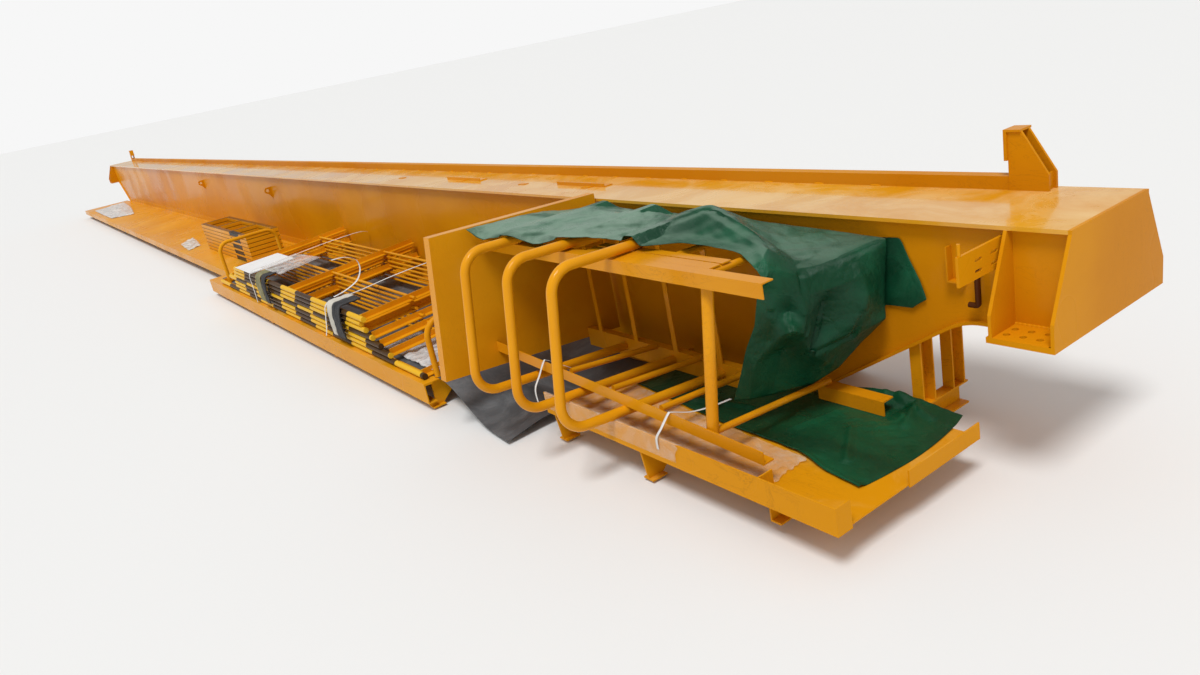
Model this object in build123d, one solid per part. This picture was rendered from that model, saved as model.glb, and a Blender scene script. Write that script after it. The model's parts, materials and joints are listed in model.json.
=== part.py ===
from build123d import *
from math import asin, atan2, cos, degrees, radians, sin, tan
import os

# Main girder of a double-girder overhead crane, with its walkway and the loose pieces packed on it.
# X runs along the girder towards the end with the short tray, Y towards the trolley rail, Z up.
# The origin is the middle of the bottom flange's underside. All sizes are in millimetres.

# Box girder
girder_length = 20500.0
girder_depth = 900.0
top_flange_width = 480.0
top_flange_thickness = 14.0
web_thickness = 8.0
web_spacing = 412.0
bottom_flange_width = 460.0
bottom_flange_thickness = 12.0
diaphragm_thickness = 6.0
diaphragm_pitch = 1600.0
diaphragm_foot_gap = 50.0

# Haunched ends with their bolted seats
haunch_length = 1284.0
haunch_angle = 30.9
haunch_foot_radius = 160.0
haunch_head_radius = 260.0
seat_height = 540.0
seat_length = 225.0
seat_width = 700.0
seat_flange_thickness = 20.0
seat_lip = 76.0
end_plate_thickness = 12.0
wing_plate_inset = 9.0
seat_hole_radius = 11.0
seat_hole_pitch_x = 55.0
seat_hole_pitch_y = 50.0
seat_hole_from_end = 125.0
seat_hole_from_web = 70.0
seat_hole_columns = 3
seat_hole_rows = 2

# Trolley rail and its stops
rail_width = 50.0
rail_height = 50.0
rail_offset = 196.0
stop_from_end = 433.0
rail_to_stop_gap = 2.0
stop_foot = 145.0
stop_head = 51.0
stop_height = 210.0
stop_shoulder = 59.0
stop_plate_thickness = 10.0
stop_plate_spacing = 50.0
buffer_height = 102.0
buffer_width = 74.0
buffer_thickness = 12.0
cap_thickness = 8.0

# Walkway plates and beams
floor_top = 160.0
floor_thickness = 5.0
floor_web_gap = 25.0
far_floor_from_end = 642.0
wide_tray_from_end = 7750.0
far_floor_edge = 1051.0
wide_floor_from_end = 2855.0
wide_floor_edge = 1250.0
ledger_top = 225.0
ledger_leg = 60.0
ledger_thickness = 6.0
ledger_haunch_gap = 60.0
far_beam_depth = 75.0
wide_beam_depth = 115.0
beam_flange = 45.0
beam_thickness = 6.0
bearer_thickness = 8.0
bearer_root_depth = 118.0
bearer_tip_depth = 62.0
foot_clearance = 12.0
foot_length = 90.0
foot_taper = 90.0
sole_inset = 15.0
sole_width = 60.0
sole_thickness = 6.0
far_bearer_count = 9
wide_bearer_from_end = 7350.0
wide_bearer_pitch = 1489.0
wide_bearer_count = 4

# Short tray at the near end
near_floor_from_end = 300.0
near_floor_length = 1647.0
near_floor_inner = 304.0
near_floor_edge = 1051.0
toe_top = 250.0
toe_thickness = 6.0
toe_lip = 40.0
toe_return = 63.0
front_toe_rise = 52.0
front_toe_outer = 700.0
angle_stop_from_end = 623.0
angle_stop_width = 65.0
near_bearer_from_end = 1900.0
near_bearer_pitch = 620.0
near_bearer_count = 2
hanger_from_end = 609.0
hanger_width = 48.0
hanger_depth = 100.0
hanger_wall = 7.0
hanger_reach = 80.0
hanger_post_size = 78.0
hanger_post_centres = (-165.0, 25.0)

# Fittings on the webs and the top flange
eye_distance = 1625.0
eye_drop = 146.0
eye_reach = 38.0
eye_radius = 34.0
eye_hole_radius = 16.0
eye_tail = 60.0
eye_thickness = 12.0
side_bracket_from_end = 795.0
side_bracket_length = 385.0
side_bracket_depth = 100.0
side_bracket_reach = 60.0
side_bracket_lift = 4.0
side_bracket_pitch = 237.0
side_bracket_tab = 55.0
fitting_wall = 6.0
arm_reach = 263.0
arm_drop = 20.0
arm_height = 98.0
arm_thickness = 10.0
slot_length = 40.0
slot_width = 11.0
slot_from_tip = (105.0, 192.0)
slot_levels = (0.25, 0.62)
tip_pin_radius = 6.0
tip_pin_length = 40.0
tip_pin_inset = 12.0
tab_from_end = 430.0
tab_drop = 75.0
tab_height = 126.0
tab_leg = 30.0
hook_from_end = 316.0
hook_levels = (0.17, 0.57)
hook_radius = 10.0
hook_standoff = 28.0
hook_return = 34.0
hook_bend = 11.5
angle_pieces_from_end = (4565.0, 3110.0)
angle_piece_lengths = (490.0, 470.0)
angle_piece_leg = 60.0
angle_piece_height = 20.0
angle_piece_y = -40.0
pads_from_end = (5330.0, 4320.0, 3470.0, 2780.0)
pad_size = 70.0
pad_thickness = 4.0

# Cage parts lying on the short tray
mat_thickness = 3.0
laid_gap = 0.3
hoops_from_end = (2117.0, 1748.0, 1418.0)
hoop_radius = 21.2
hoop_bend = 105.0
hoop_reach = 1295.0
hoop_head_reach = 1195.0
hoop_slope = 5.3
hoop_rise = 632.0
hoop_head_fall = 35.0
cage_inner = 455.0
cage_from_end = 2438.0
lower_angle_from_end = 650.0
lower_angle_leg = 50.0
lower_angle_thickness = 5.0
lower_angle_outer = 990.0
lower_angle_fall = 2.5
inner_channel_height = 98.0
inner_channel_flange = 40.0
inner_channel_from_end = 1210.0
uprights_from_end = (2315.0, 2018.0, 1720.0, 1422.0)
upright_width = 30.0
upright_thickness = 6.0
post_from_end = 928.0
post_radius = 22.5
post_foot_y = 960.0
post_head_y = 868.0
rung_pitch = 312.0
rung_radius = 13.5
slanted_rung_rise = 14.9
rung_count = 3
last_rung_inner = 640.0
bar_a_outer = 921.0
bar_a_from_end = 616.0
bar_a_leg = 54.0
flats_from_end = 915.0
flats_length = 745.0
flat_outers = (866.5, 804.0)
flat_widths = (54.0, 43.0)
bar_c_from_end = 1123.0
bar_c_width = 40.0
top_bar_thickness = 5.0
panel_edge_top = 972.0
panel_inner = 250.0
panel_inner_top = 930.0
panel_inner_bottom = 190.0
panel_outer_bottom = 285.0
panel_flange = 50.0
panel_thickness = 6.0
offcut_from_end = 650.0
offcut_length = 315.0
offcut_leg = 60.0
offcut_thickness = 6.0
offcut_y = 328.0
tarp_thickness = 6.0
tarp_rest_y = 988.0
tarp_hem_from_end = (2413.0, 2080.0, 1954.0, 1686.0, 1505.0, 1148.0, 952.0)
tarp_hem_y = (1013.0, 983.0, 910.0, 880.0, 837.0, 814.0, 742.0)
tarp_fold_from_end = (830.0, 700.0)
tarp_fold_y = (725.0, 250.0)
tarp_flap_bottoms = (283.0, 400.0, 590.0)
tray_tarp_from_end = (1933.0, 1621.0, 1047.0, 583.0, 407.0, 371.0, 408.0, 1933.0)
tray_tarp_y = (646.0, 673.0, 730.0, 787.0, 815.0, 614.0, 318.0, 318.0)

# Railing sections stacked on the wide tray
handrail_radius = 16.75
handrail_y = 1215.0
mid_rail_radius = 10.0
mid_rail_reaches = (340.0, 765.0)
railing_post_width = 50.0
railing_post_height = 36.0
railing_post_thickness = 5.0
railing_post_end = 18.0
railing_post_pitch = 1475.0
post_trim_share = 0.25
post_web_gap = 2.0
railings_far_from_end = (7360.0, 6744.0, 6718.0, 6947.0, 6650.0, 6595.0, 6555.0)
railings_near_from_end = (2908.0, 3337.0, 3453.0, 3544.0, 3620.0, 3659.0, 3595.0)
returned_section = 4
return_reach = 520.0
return_length = 420.0
return_bend = 90.0
far_hoop_from_end = 7270.0
far_hoop_legs = (640.0, 1170.0)
far_hoop_top = 548.0
near_hoop_from_end = 2882.0
near_hoop_legs = (528.0, 1156.0)
near_hoop_top = 487.0
end_hoop_bend = 95.0
sign_from_end = 6480.0
sign_length = 490.0
sign_width = 370.0
sign_overhang = 14.0
sign_thickness = 2.0
wide_mat_from_end = 7600.0
wide_mat_inner = 300.0
wide_mat_outer = 1190.0
mat_drop_from_end = 2825.0
mat_low_from_end = 2410.0
mat_low_z = 75.0
mat_end_from_end = 2110.0
mat_end_z = 20.0
mat_bends = (150.0, 400.0)

# Frames stacked on the far walkway
stack_from_end = 7800.0
stack_length = 1950.0
stack_inner = 474.0
stack_outer = 802.0
stack_bar = 42.0
stack_layers = 7
stack_crossbars = 4

# Places worked out from the sizes above
half_length = girder_length / 2
plate_end = half_length - end_plate_thickness
web_top = girder_depth - top_flange_thickness
web_middle = web_spacing / 2
web_face = web_middle + web_thickness / 2
web_inside = web_middle - web_thickness / 2
flange_middle = bottom_flange_thickness / 2
seat_middle = seat_height + flange_middle
seat_top = seat_height + seat_flange_thickness
seat_start = half_length - seat_length
slope = radians(haunch_angle)
haunch_foot = half_length - haunch_length
haunch_head = haunch_foot + seat_height / tan(slope)
floor_under = floor_top - floor_thickness
floor_inner = web_face + floor_web_gap
stop_start = half_length - stop_from_end
ledger_end = haunch_foot + (floor_top / tan(slope)) - ledger_haunch_gap
mat_top = floor_top + laid_gap + mat_thickness
laid_level = mat_top + laid_gap
far_floor_end = half_length - wide_tray_from_end
wide_floor_end = half_length - wide_floor_from_end
near_floor_end = half_length - near_floor_from_end
near_floor_start = near_floor_end - near_floor_length
hanger_x = half_length - hanger_from_end
eye_height = web_top - eye_drop
arm_bottom = web_top - arm_drop - arm_height
hook_x = half_length - hook_from_end
hook_bottom, hook_top = [seat_top + level * (web_top - seat_top) for level in hook_levels]
hoop_positions = [half_length - distance for distance in hoops_from_end]
cage_start = half_length - cage_from_end
post_x = half_length - post_from_end
rung_positions = [post_x - step * rung_pitch for step in range(1, rung_count + 1)]


def slab_xz(face, y_low, y_high):
    """A plate whose outline is drawn in XZ, between two places in Y."""
    return extrude(Plane.XZ.offset(-y_high) * face, amount=y_high - y_low)


def slab_yz(face, x_low, x_high):
    """A plate whose outline is drawn in YZ, between two places in X."""
    return extrude(Plane.YZ.offset(x_low) * face, amount=x_high - x_low)


def block(x_span, y_span, z_span):
    """A rectangular block between two places on each axis."""
    size = [high - low for low, high in (x_span, y_span, z_span)]
    middle = [(high + low) / 2 for low, high in (x_span, y_span, z_span)]
    return Pos(*middle) * Box(*size)


def polygon(*points):
    """A flat face with straight edges through the points."""
    return make_face(Polyline(*points, close=True))


def mirrored(face):
    """An outline drawn on the side of positive first coordinate, turned to the other side."""
    return mirror(face, Plane.YZ)


def pipe(points, radius, bend=0.0):
    """A round bar along straight runs that are joined by bends of one radius."""
    if bend and len(points) > 2:
        path = FilletPolyline(*points, radius=bend)
    else:
        path = Polyline(*points)
    start = Plane(origin=path @ 0, z_dir=path % 0)
    return sweep(start * Circle(radius), path=path)


def save(shape, node):
    """Write one named piece."""
    export_step(shape, f"parts/{node}.step")


def solids(*shapes):
    """Several pieces that don't touch, kept under one name."""
    kept = [piece for shape in shapes for piece in shape.solids()]
    return Compound(children=kept)


# Box girder

def haunch_line(lift):
    """The line that runs this far above the bottom flange's middle, from seat to seat."""
    shift = lift * tan(slope / 2)
    foot = (haunch_foot - shift, flange_middle + lift)
    head = (haunch_head - shift, seat_middle + lift)
    end = (seat_start, seat_middle + lift)
    right = [foot, head, end]
    left = [(-x, z) for x, z in reversed(right)]
    bends = [haunch_head_radius + lift, haunch_foot_radius - lift]
    return FilletPolyline(*left, *right, radius=bends + bends[::-1])


def web():
    """Side plate of the box, drawn in XZ, following the bent flange and the raised seats."""
    lower = haunch_line(flange_middle)
    rim = Polyline(
        lower @ 1,
        (seat_start, seat_top),
        (plate_end, seat_top),
        (plate_end, web_top),
        (-plate_end, web_top),
        (-plate_end, seat_top),
        (-seat_start, seat_top),
        lower @ 0,
    )
    return make_face(lower.edges() + rim.edges())


def wing_outline(inner):
    """Half of the plate shape at a seat below the top flange, drawn in YZ, sloping out from it."""
    return polygon(
        (inner, seat_top),
        (seat_width / 2, seat_top),
        (seat_width / 2, seat_top + seat_lip),
        (top_flange_width / 2, web_top),
        (inner, web_top),
    )


def girder_box():
    """Flanges, webs and the sealed diaphragms between them."""
    outline = web()
    save(slab_xz(outline, -web_face, -web_inside), "web_walkway_side")
    save(slab_xz(outline, web_inside, web_face), "web_rail_side")
    top_edges = (-top_flange_width / 2, top_flange_width / 2)
    save(block((-plate_end, plate_end), top_edges, (web_top, girder_depth)), "top_flange")
    strip = trace(haunch_line(0.0), bottom_flange_thickness)
    save(slab_xz(strip, -bottom_flange_width / 2, bottom_flange_width / 2), "bottom_flange")
    count = int(haunch_foot // diaphragm_pitch)
    plates = []
    for step in range(-count, count + 1):
        x = step * diaphragm_pitch
        plates.append(block(
            (x - diaphragm_thickness / 2, x + diaphragm_thickness / 2),
            (-web_inside, web_inside),
            (bottom_flange_thickness + diaphragm_foot_gap, web_top),
        ))
    save(solids(*plates), "inner_diaphragms")


def seat_holes(side):
    """Bolt holes through one wing of the seat flange, on the side of the given sign."""
    grid = GridLocations(seat_hole_pitch_x, seat_hole_pitch_y, seat_hole_columns, seat_hole_rows)
    centre = (half_length - seat_hole_from_end, side * (web_face + seat_hole_from_web), seat_height)
    drill = Cylinder(seat_hole_radius, seat_flange_thickness, align=(Align.CENTER, Align.CENTER, Align.MIN))
    return [Pos(*centre) * spot * drill for spot in grid]


def end_seats():
    """Seat flange, end plate and wing plates, the same at both ends."""
    flange = block(
        (seat_start, half_length),
        (-seat_width / 2, seat_width / 2),
        (seat_height, seat_top),
    )
    for side in (-1, 1):
        flange -= seat_holes(side)
    half = wing_outline(0.0)
    end_plate = slab_yz(half + mirrored(half), plate_end, half_length)
    flange_edges = (-top_flange_width / 2, top_flange_width / 2)
    end_plate += block((plate_end, half_length), flange_edges, (web_top, girder_depth))
    wing = wing_outline(web_face)
    wing_start = seat_start + wing_plate_inset
    wing_end = wing_start + end_plate_thickness
    outer = slab_yz(wing, wing_start, wing_end)
    other = slab_yz(mirrored(wing), wing_start, wing_end)
    inner = block((wing_start, wing_end), (-web_inside, web_inside), (seat_top, web_top))
    for piece, name in ((flange, "seat_flange"), (end_plate, "end_plate")):
        save(piece, f"{name}_near")
        save(mirror(piece, Plane.YZ), f"{name}_far")
    save(at_both_ends(solids(outer, other, inner)), "seat_diaphragms")


def at_both_ends(piece):
    """The near-end piece and its mirror image at the far end."""
    return solids(piece, mirror(piece, Plane.YZ))


def trolley_stop():
    """Two sloped plates with a buffer face, a cap and a cross piece, welded together."""
    foot_end = stop_start + stop_foot
    head_end = stop_start + stop_head
    top = girder_depth + stop_height
    outline = polygon(
        (stop_start, girder_depth),
        (stop_start, top),
        (head_end, top),
        (foot_end, girder_depth + stop_shoulder),
        (foot_end, girder_depth),
    )
    middle = (stop_plate_spacing - stop_plate_thickness) / 2
    shape = slab_xz(outline, rail_offset - middle - stop_plate_thickness, rail_offset - middle)
    shape += slab_xz(outline, rail_offset + middle, rail_offset + middle + stop_plate_thickness)
    buffer_edges = (rail_offset - buffer_width / 2, rail_offset + buffer_width / 2)
    shape += block((stop_start - buffer_thickness, stop_start), buffer_edges, (top - buffer_height, top))
    shape += block((stop_start - buffer_thickness, head_end), buffer_edges, (top, top + cap_thickness))
    shape += block(
        (foot_end - 2 * stop_plate_thickness, foot_end - stop_plate_thickness),
        (rail_offset - middle, rail_offset + middle),
        (girder_depth, girder_depth + stop_shoulder),
    )
    return shape


def rail_and_stops():
    """Square rail bar over the rail-side web, closed by a stop at each end."""
    rail_end = stop_start - rail_to_stop_gap
    edges = (rail_offset - rail_width / 2, rail_offset + rail_width / 2)
    save(block((-rail_end, rail_end), edges, (girder_depth, girder_depth + rail_height)), "trolley_rail")
    save(at_both_ends(trolley_stop()), "trolley_stops")


# Fittings on the webs and the top flange

def web_eyes():
    """Lifting eyes that stand out from the webs on a sloped tail, two on each web."""
    middle = web_face + eye_reach
    outline = polygon(
        (web_face, eye_height + eye_radius),
        (middle, eye_height + eye_radius),
        (middle, eye_height - eye_radius),
        (web_face, eye_height - eye_radius - eye_tail),
    )
    outline += Pos(middle, eye_height) * Circle(eye_radius)
    outline -= Pos(middle, eye_height) * Circle(eye_hole_radius)
    eyes = []
    for x in (-eye_distance, eye_distance):
        for side in (outline, mirrored(outline)):
            eyes.append(slab_yz(side, x - eye_thickness / 2, x + eye_thickness / 2))
    save(solids(*eyes), "web_eyes")


def rail_side_brackets():
    """Two short channels on the rail-side web near the end, the lower one with a drooping tab."""
    shapes = []
    end = half_length - side_bracket_from_end
    flange_top = (end - haunch_foot) * tan(slope) + bottom_flange_thickness / cos(slope)
    low = flange_top + side_bracket_lift
    for bottom in (low, low + side_bracket_pitch):
        top = bottom + side_bracket_depth
        outer = web_face + side_bracket_reach
        profile = polygon(
            (web_face, bottom),
            (outer, bottom),
            (outer, top),
            (web_face, top),
            (web_face, top - fitting_wall),
            (outer - fitting_wall, top - fitting_wall),
            (outer - fitting_wall, bottom + fitting_wall),
            (web_face, bottom + fitting_wall),
        )
        shapes.append(slab_yz(profile, end - side_bracket_length, end))
    shapes[0] += block(
        (end - side_bracket_tab, end),
        (web_face + side_bracket_reach - fitting_wall, web_face + side_bracket_reach),
        (low - side_bracket_tab, low),
    )
    save(solids(*shapes), "rail_side_brackets")


def slotted_arm():
    """Arm with four slots and a tip pin, square to the walkway-side web beside the wing plate."""
    arm_end = seat_start
    outline = polygon(
        (-web_face, arm_bottom),
        (-web_face, arm_bottom + arm_height),
        (-web_face - arm_reach, arm_bottom + arm_height),
        (-web_face - arm_reach, arm_bottom),
    )
    for from_tip in slot_from_tip:
        for level in slot_levels:
            centre = Pos(-web_face - arm_reach + from_tip, arm_bottom + level * arm_height)
            outline -= centre * SlotOverall(slot_length, slot_width)
    arm = slab_yz(outline, arm_end - arm_thickness, arm_end)
    pin = Cylinder(tip_pin_radius, tip_pin_length, align=(Align.CENTER, Align.CENTER, Align.MIN))
    pin_place = Pos(
        arm_end - arm_thickness / 2,
        -web_face - arm_reach + tip_pin_inset,
        arm_bottom + arm_height,
    )
    return arm + pin_place * pin


def web_fittings():
    """Slotted arm, small angle tab and hook bar on the walkway-side web."""
    tab_x = half_length - tab_from_end
    tab_bottom = web_top - tab_drop - tab_height
    tab = block(
        (tab_x, tab_x + fitting_wall),
        (-web_face - tab_leg, -web_face),
        (tab_bottom, tab_bottom + tab_height),
    )
    tab += block(
        (tab_x, tab_x + 2 * tab_leg),
        (-web_face - tab_leg, -web_face),
        (tab_bottom, tab_bottom + fitting_wall),
    )
    out = -web_face - hook_standoff
    hook = pipe(
        [
            (hook_x, -web_face, hook_top),
            (hook_x, out, hook_top),
            (hook_x, out, hook_bottom),
            (hook_x - hook_return, out, hook_bottom),
        ],
        hook_radius,
        hook_bend,
    )
    save(solids(slotted_arm(), tab, hook), "web_fittings")


def loose_angles():
    """Angle pieces and small plates that lie on the top flange, and one length lying on the tray."""
    shapes = []
    for from_end, length in zip(angle_pieces_from_end, angle_piece_lengths):
        start = half_length - from_end
        profile = polygon(
            (angle_piece_y, girder_depth),
            (angle_piece_y, girder_depth + angle_piece_height),
            (angle_piece_y + fitting_wall, girder_depth + angle_piece_height),
            (angle_piece_y + fitting_wall, girder_depth + fitting_wall),
            (angle_piece_y + angle_piece_leg, girder_depth + fitting_wall),
            (angle_piece_y + angle_piece_leg, girder_depth),
        )
        shapes.append(slab_yz(profile, start, start + length))
    for from_end in pads_from_end:
        x = half_length - from_end
        shapes.append(block(
            (x - pad_size / 2, x + pad_size / 2),
            (angle_piece_y - pad_size / 2, angle_piece_y),
            (girder_depth, girder_depth + pad_thickness),
        ))
    shapes.append(offcut())
    save(solids(*shapes), "loose_angles")


# Walkway

def walkway_floors():
    """Floor plates of the long walkway and of the wide tray, and the toe angle along the web."""
    far_start = -half_length + far_floor_from_end
    level = (floor_under, floor_top)
    save(block((far_start, far_floor_end), (-far_floor_edge, -floor_inner), level), "walkway_floor_far")
    save(block((far_floor_end, wide_floor_end), (-wide_floor_edge, -floor_inner), level), "walkway_floor_wide")
    profile = polygon(
        (-web_face, floor_top),
        (-web_face, ledger_top),
        (-web_face - ledger_thickness, ledger_top),
        (-web_face - ledger_thickness, floor_top + ledger_thickness),
        (-web_face - ledger_leg, floor_top + ledger_thickness),
        (-web_face - ledger_leg, floor_top),
    )
    save(slab_yz(profile, -ledger_end, wide_floor_end), "ledger_angle")


def edge_channel(edge, depth):
    """Outer channel of a walkway in YZ, its back outwards and its top flange under the floor."""
    bottom = floor_top - depth
    tip = -edge + beam_flange
    return polygon(
        (-edge - beam_thickness, bottom),
        (-edge - beam_thickness, floor_top),
        (-edge, floor_top),
        (-edge, floor_under),
        (tip, floor_under),
        (tip, floor_under - beam_thickness),
        (-edge, floor_under - beam_thickness),
        (-edge, bottom + beam_thickness),
        (tip, bottom + beam_thickness),
        (tip, bottom),
    )


def edge_beams():
    """Outer channels, the far one closed at its end by a flat bar."""
    far_start = -half_length + far_floor_from_end
    far = slab_yz(edge_channel(far_floor_edge, far_beam_depth), far_start, far_floor_end)
    far += block(
        (far_start, far_start + beam_thickness),
        (-far_floor_edge, -floor_inner),
        (floor_top - far_beam_depth, floor_under),
    )
    save(far, "edge_beam_far")
    save(slab_yz(edge_channel(wide_floor_edge, wide_beam_depth), far_floor_end, wide_floor_end), "edge_beam_wide")


def bearer(x, edge, beam_bottom, foot):
    """Plate across the walkway from the web to the edge channel, with a foot below the channel."""
    inner = -edge + beam_flange
    outer = -edge
    if foot:
        low = foot_clearance + sole_thickness
        below = [
            (inner, beam_bottom),
            (outer, beam_bottom),
            (outer + sole_inset, low),
            (outer + foot_length, low),
            (outer + foot_length + foot_taper, floor_under - bearer_tip_depth),
        ]
    else:
        below = [(inner, floor_under - bearer_tip_depth)]
    outline = polygon(
        (-web_face, floor_under),
        (inner, floor_under),
        *below,
        (-web_face, floor_under - bearer_root_depth),
    )
    shape = slab_yz(outline, x - bearer_thickness / 2, x + bearer_thickness / 2)
    if foot:
        shape += block(
            (x - sole_width / 2, x + sole_width / 2),
            (outer + sole_inset, outer + foot_length),
            (foot_clearance, foot_clearance + sole_thickness),
        )
    return shape


def walkway_bearers():
    """Bearers of the long walkway, the footed and plain ones of the wide tray, and the near tray's."""
    shapes = []
    first = -haunch_foot
    pitch = (far_floor_end - sole_width - first) / (far_bearer_count - 1)
    for step in range(far_bearer_count):
        shapes.append(bearer(first + step * pitch, far_floor_edge, floor_top - far_beam_depth, False))
    for step in range(wide_bearer_count):
        place = half_length - wide_bearer_from_end + step * wide_bearer_pitch
        x = min(place, wide_floor_end - sole_width / 2)
        shapes.append(bearer(x, wide_floor_edge, floor_top - wide_beam_depth, True))
        if step < wide_bearer_count - 1:
            middle = x + wide_bearer_pitch / 2
            shapes.append(bearer(middle, wide_floor_edge, floor_top - wide_beam_depth, False))
    for step in range(near_bearer_count):
        x = half_length - near_bearer_from_end + step * near_bearer_pitch
        shapes.append(bearer(x, near_floor_edge, floor_under - toe_thickness, True))
    save(solids(*shapes), "walkway_bearers")


def near_tray():
    """Floor of the short tray, its outer toe plate turned in at the corner, and the low front flat."""
    span = (near_floor_start, near_floor_end)
    low = floor_under - toe_thickness
    save(block(span, (-near_floor_edge, -near_floor_inner), (floor_under, floor_top)), "near_tray_floor")
    outside = -near_floor_edge - toe_thickness
    toe = block(span, (outside, -near_floor_edge), (low, toe_top))
    toe += block(span, (-near_floor_edge, -near_floor_edge + toe_lip), (low, floor_under))
    front = (near_floor_end, near_floor_end + toe_thickness)
    toe += block(front, (outside, -near_floor_edge + toe_return), (low, toe_top))
    angle_stop = half_length - angle_stop_from_end
    toe += block(
        (angle_stop, angle_stop + toe_thickness),
        (-near_floor_edge, -near_floor_edge + angle_stop_width),
        (laid_level, toe_top),
    )
    save(toe, "near_tray_toe_outer")
    front_top = floor_top + front_toe_rise
    save(block(front, (-front_toe_outer, -near_floor_inner), (low, front_top)), "near_tray_toe_front")


def hangers():
    """Cross channel under the tray's near end and the posts that hang it from the haunch."""
    inner = hanger_x - hanger_width / 2
    outer = hanger_x + hanger_width / 2
    top = floor_under
    bottom = top - hanger_depth
    profile = polygon(
        (inner, bottom),
        (inner, top),
        (outer, top),
        (outer, top - hanger_wall),
        (inner + hanger_wall, top - hanger_wall),
        (inner + hanger_wall, bottom + hanger_wall),
        (outer, bottom + hanger_wall),
        (outer, bottom),
    )
    save(slab_xz(profile, -near_floor_edge + toe_lip, hanger_reach), "hanger_beam")
    above = Polyline(
        haunch_line(-flange_middle) @ 1,
        (seat_start, girder_depth),
        (-seat_start, girder_depth),
        haunch_line(-flange_middle) @ 0,
    )
    girder_side = slab_xz(
        make_face(haunch_line(-flange_middle).edges() + above.edges()), -seat_width, seat_width
    )
    posts = []
    for centre in hanger_post_centres:
        low = centre - hanger_post_size / 2
        high = centre + hanger_post_size / 2
        section = Pos(hanger_x, centre) * Rectangle(hanger_width, hanger_post_size)
        section -= Pos(hanger_x + hanger_wall, centre) * Rectangle(
            hanger_width, hanger_post_size - 2 * hanger_wall
        )
        post = extrude(Pos(0, 0, top) * section, amount=seat_height)
        posts.append(post - girder_side)
    save(solids(*posts), "hanger_posts")


# Cage parts on the short tray

def leg_height(y):
    """Height of a hoop's lower leg at this distance out, where it rests on the toe plate."""
    rest = toe_top + laid_gap + hoop_radius / cos(radians(hoop_slope))
    return rest + (y - near_floor_edge) * tan(radians(hoop_slope))


def hoop_head_height(y):
    """Height of a hoop's upper leg at this distance out."""
    head = leg_height(hoop_reach) + hoop_rise
    return head - (hoop_head_reach - y) * hoop_head_fall / (hoop_head_reach - cage_inner)


def cage_hoops():
    """Three hoops bent from pipe, open towards the girder."""
    inner_end = cage_inner - 2 * hoop_radius
    shapes = []
    for x in hoop_positions:
        hoop = pipe(
            [
                (x, -inner_end, leg_height(inner_end)),
                (x, -hoop_reach, leg_height(hoop_reach)),
                (x, -hoop_head_reach, hoop_head_height(hoop_head_reach)),
                (x, -inner_end, hoop_head_height(inner_end)),
            ],
            hoop_radius,
            hoop_bend,
        )
        beyond = block((x - hoop_bend, x + hoop_bend), (-cage_inner, 0), (0, girder_depth / 2))
        shapes.append(hoop - beyond)
    save(solids(*shapes), "cage_hoops")


def lower_base(x):
    """Underside of the lower angle at this place, falling from the last hoop, on which it rests."""
    rest = leg_height(lower_angle_outer) + hoop_radius / cos(radians(hoop_slope)) + laid_gap
    return rest - (x - hoop_positions[-1]) * tan(radians(lower_angle_fall))


def lower_angle():
    """Outer angle of the cage's foot, drawn level with the last hoop and then turned to its fall."""
    base = lower_base(hoop_positions[-1])
    inner = lower_angle_outer - lower_angle_leg
    profile = polygon(
        (-lower_angle_outer, base),
        (-lower_angle_outer, base + lower_angle_leg),
        (-lower_angle_outer + lower_angle_thickness, base + lower_angle_leg),
        (-lower_angle_outer + lower_angle_thickness, base + lower_angle_thickness),
        (-inner, base + lower_angle_thickness),
        (-inner, base),
    )
    level = slab_yz(profile, cage_start, half_length - lower_angle_from_end)
    rest = Pos(hoop_positions[-1], 0, base)
    return rest * Rot(0, lower_angle_fall, 0) * rest.inverse() * level


def lower_rung(x, channel_top):
    """Rung from the lower angle's inner edge down to the inner channel's top."""
    inner = lower_angle_outer - lower_angle_leg
    start = lower_base(x - rung_radius) + lower_angle_thickness + rung_radius
    rung = pipe([(x, -inner, start), (x, -cage_inner, channel_top)], rung_radius)
    return rung - block((x - sole_width, x + sole_width), (-cage_inner, 0), (0, girder_depth / 2))


def cage_lower_frame():
    """Outer angle on the hoops' legs, inner channel on the floor, uprights and rungs."""
    frame = lower_angle()
    channel_top = laid_level + inner_channel_height
    channel = polygon(
        (-cage_inner, laid_level),
        (-cage_inner, channel_top),
        (-cage_inner + inner_channel_flange, channel_top),
        (-cage_inner + inner_channel_flange, channel_top - lower_angle_thickness),
        (-cage_inner + lower_angle_thickness, channel_top - lower_angle_thickness),
        (-cage_inner + lower_angle_thickness, laid_level + lower_angle_thickness),
        (-cage_inner + inner_channel_flange, laid_level + lower_angle_thickness),
        (-cage_inner + inner_channel_flange, laid_level),
    )
    inner_frame = slab_yz(channel, cage_start, half_length - inner_channel_from_end)
    for from_end in uprights_from_end:
        x = half_length - from_end
        inner_frame += block(
            (x - upright_width / 2, x + upright_width / 2),
            (-cage_inner, -cage_inner + upright_thickness),
            (channel_top, bar_c_level()),
        )
    for x in rung_positions:
        frame += lower_rung(x, channel_top)
    save(solids(frame, inner_frame), "cage_lower_frame")


def bar_c_level():
    """Underside of the flat bar below the hoops' inner ends."""
    inner_end = cage_inner - 2 * hoop_radius
    return hoop_head_height(inner_end) - hoop_radius - laid_gap - top_bar_thickness


def top_bar_level():
    """Upper face of the angle and the two flats below the hoops' upper legs."""
    innermost = flat_outers[-1] - flat_widths[-1]
    return hoop_head_height(innermost) - hoop_radius - laid_gap


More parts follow.
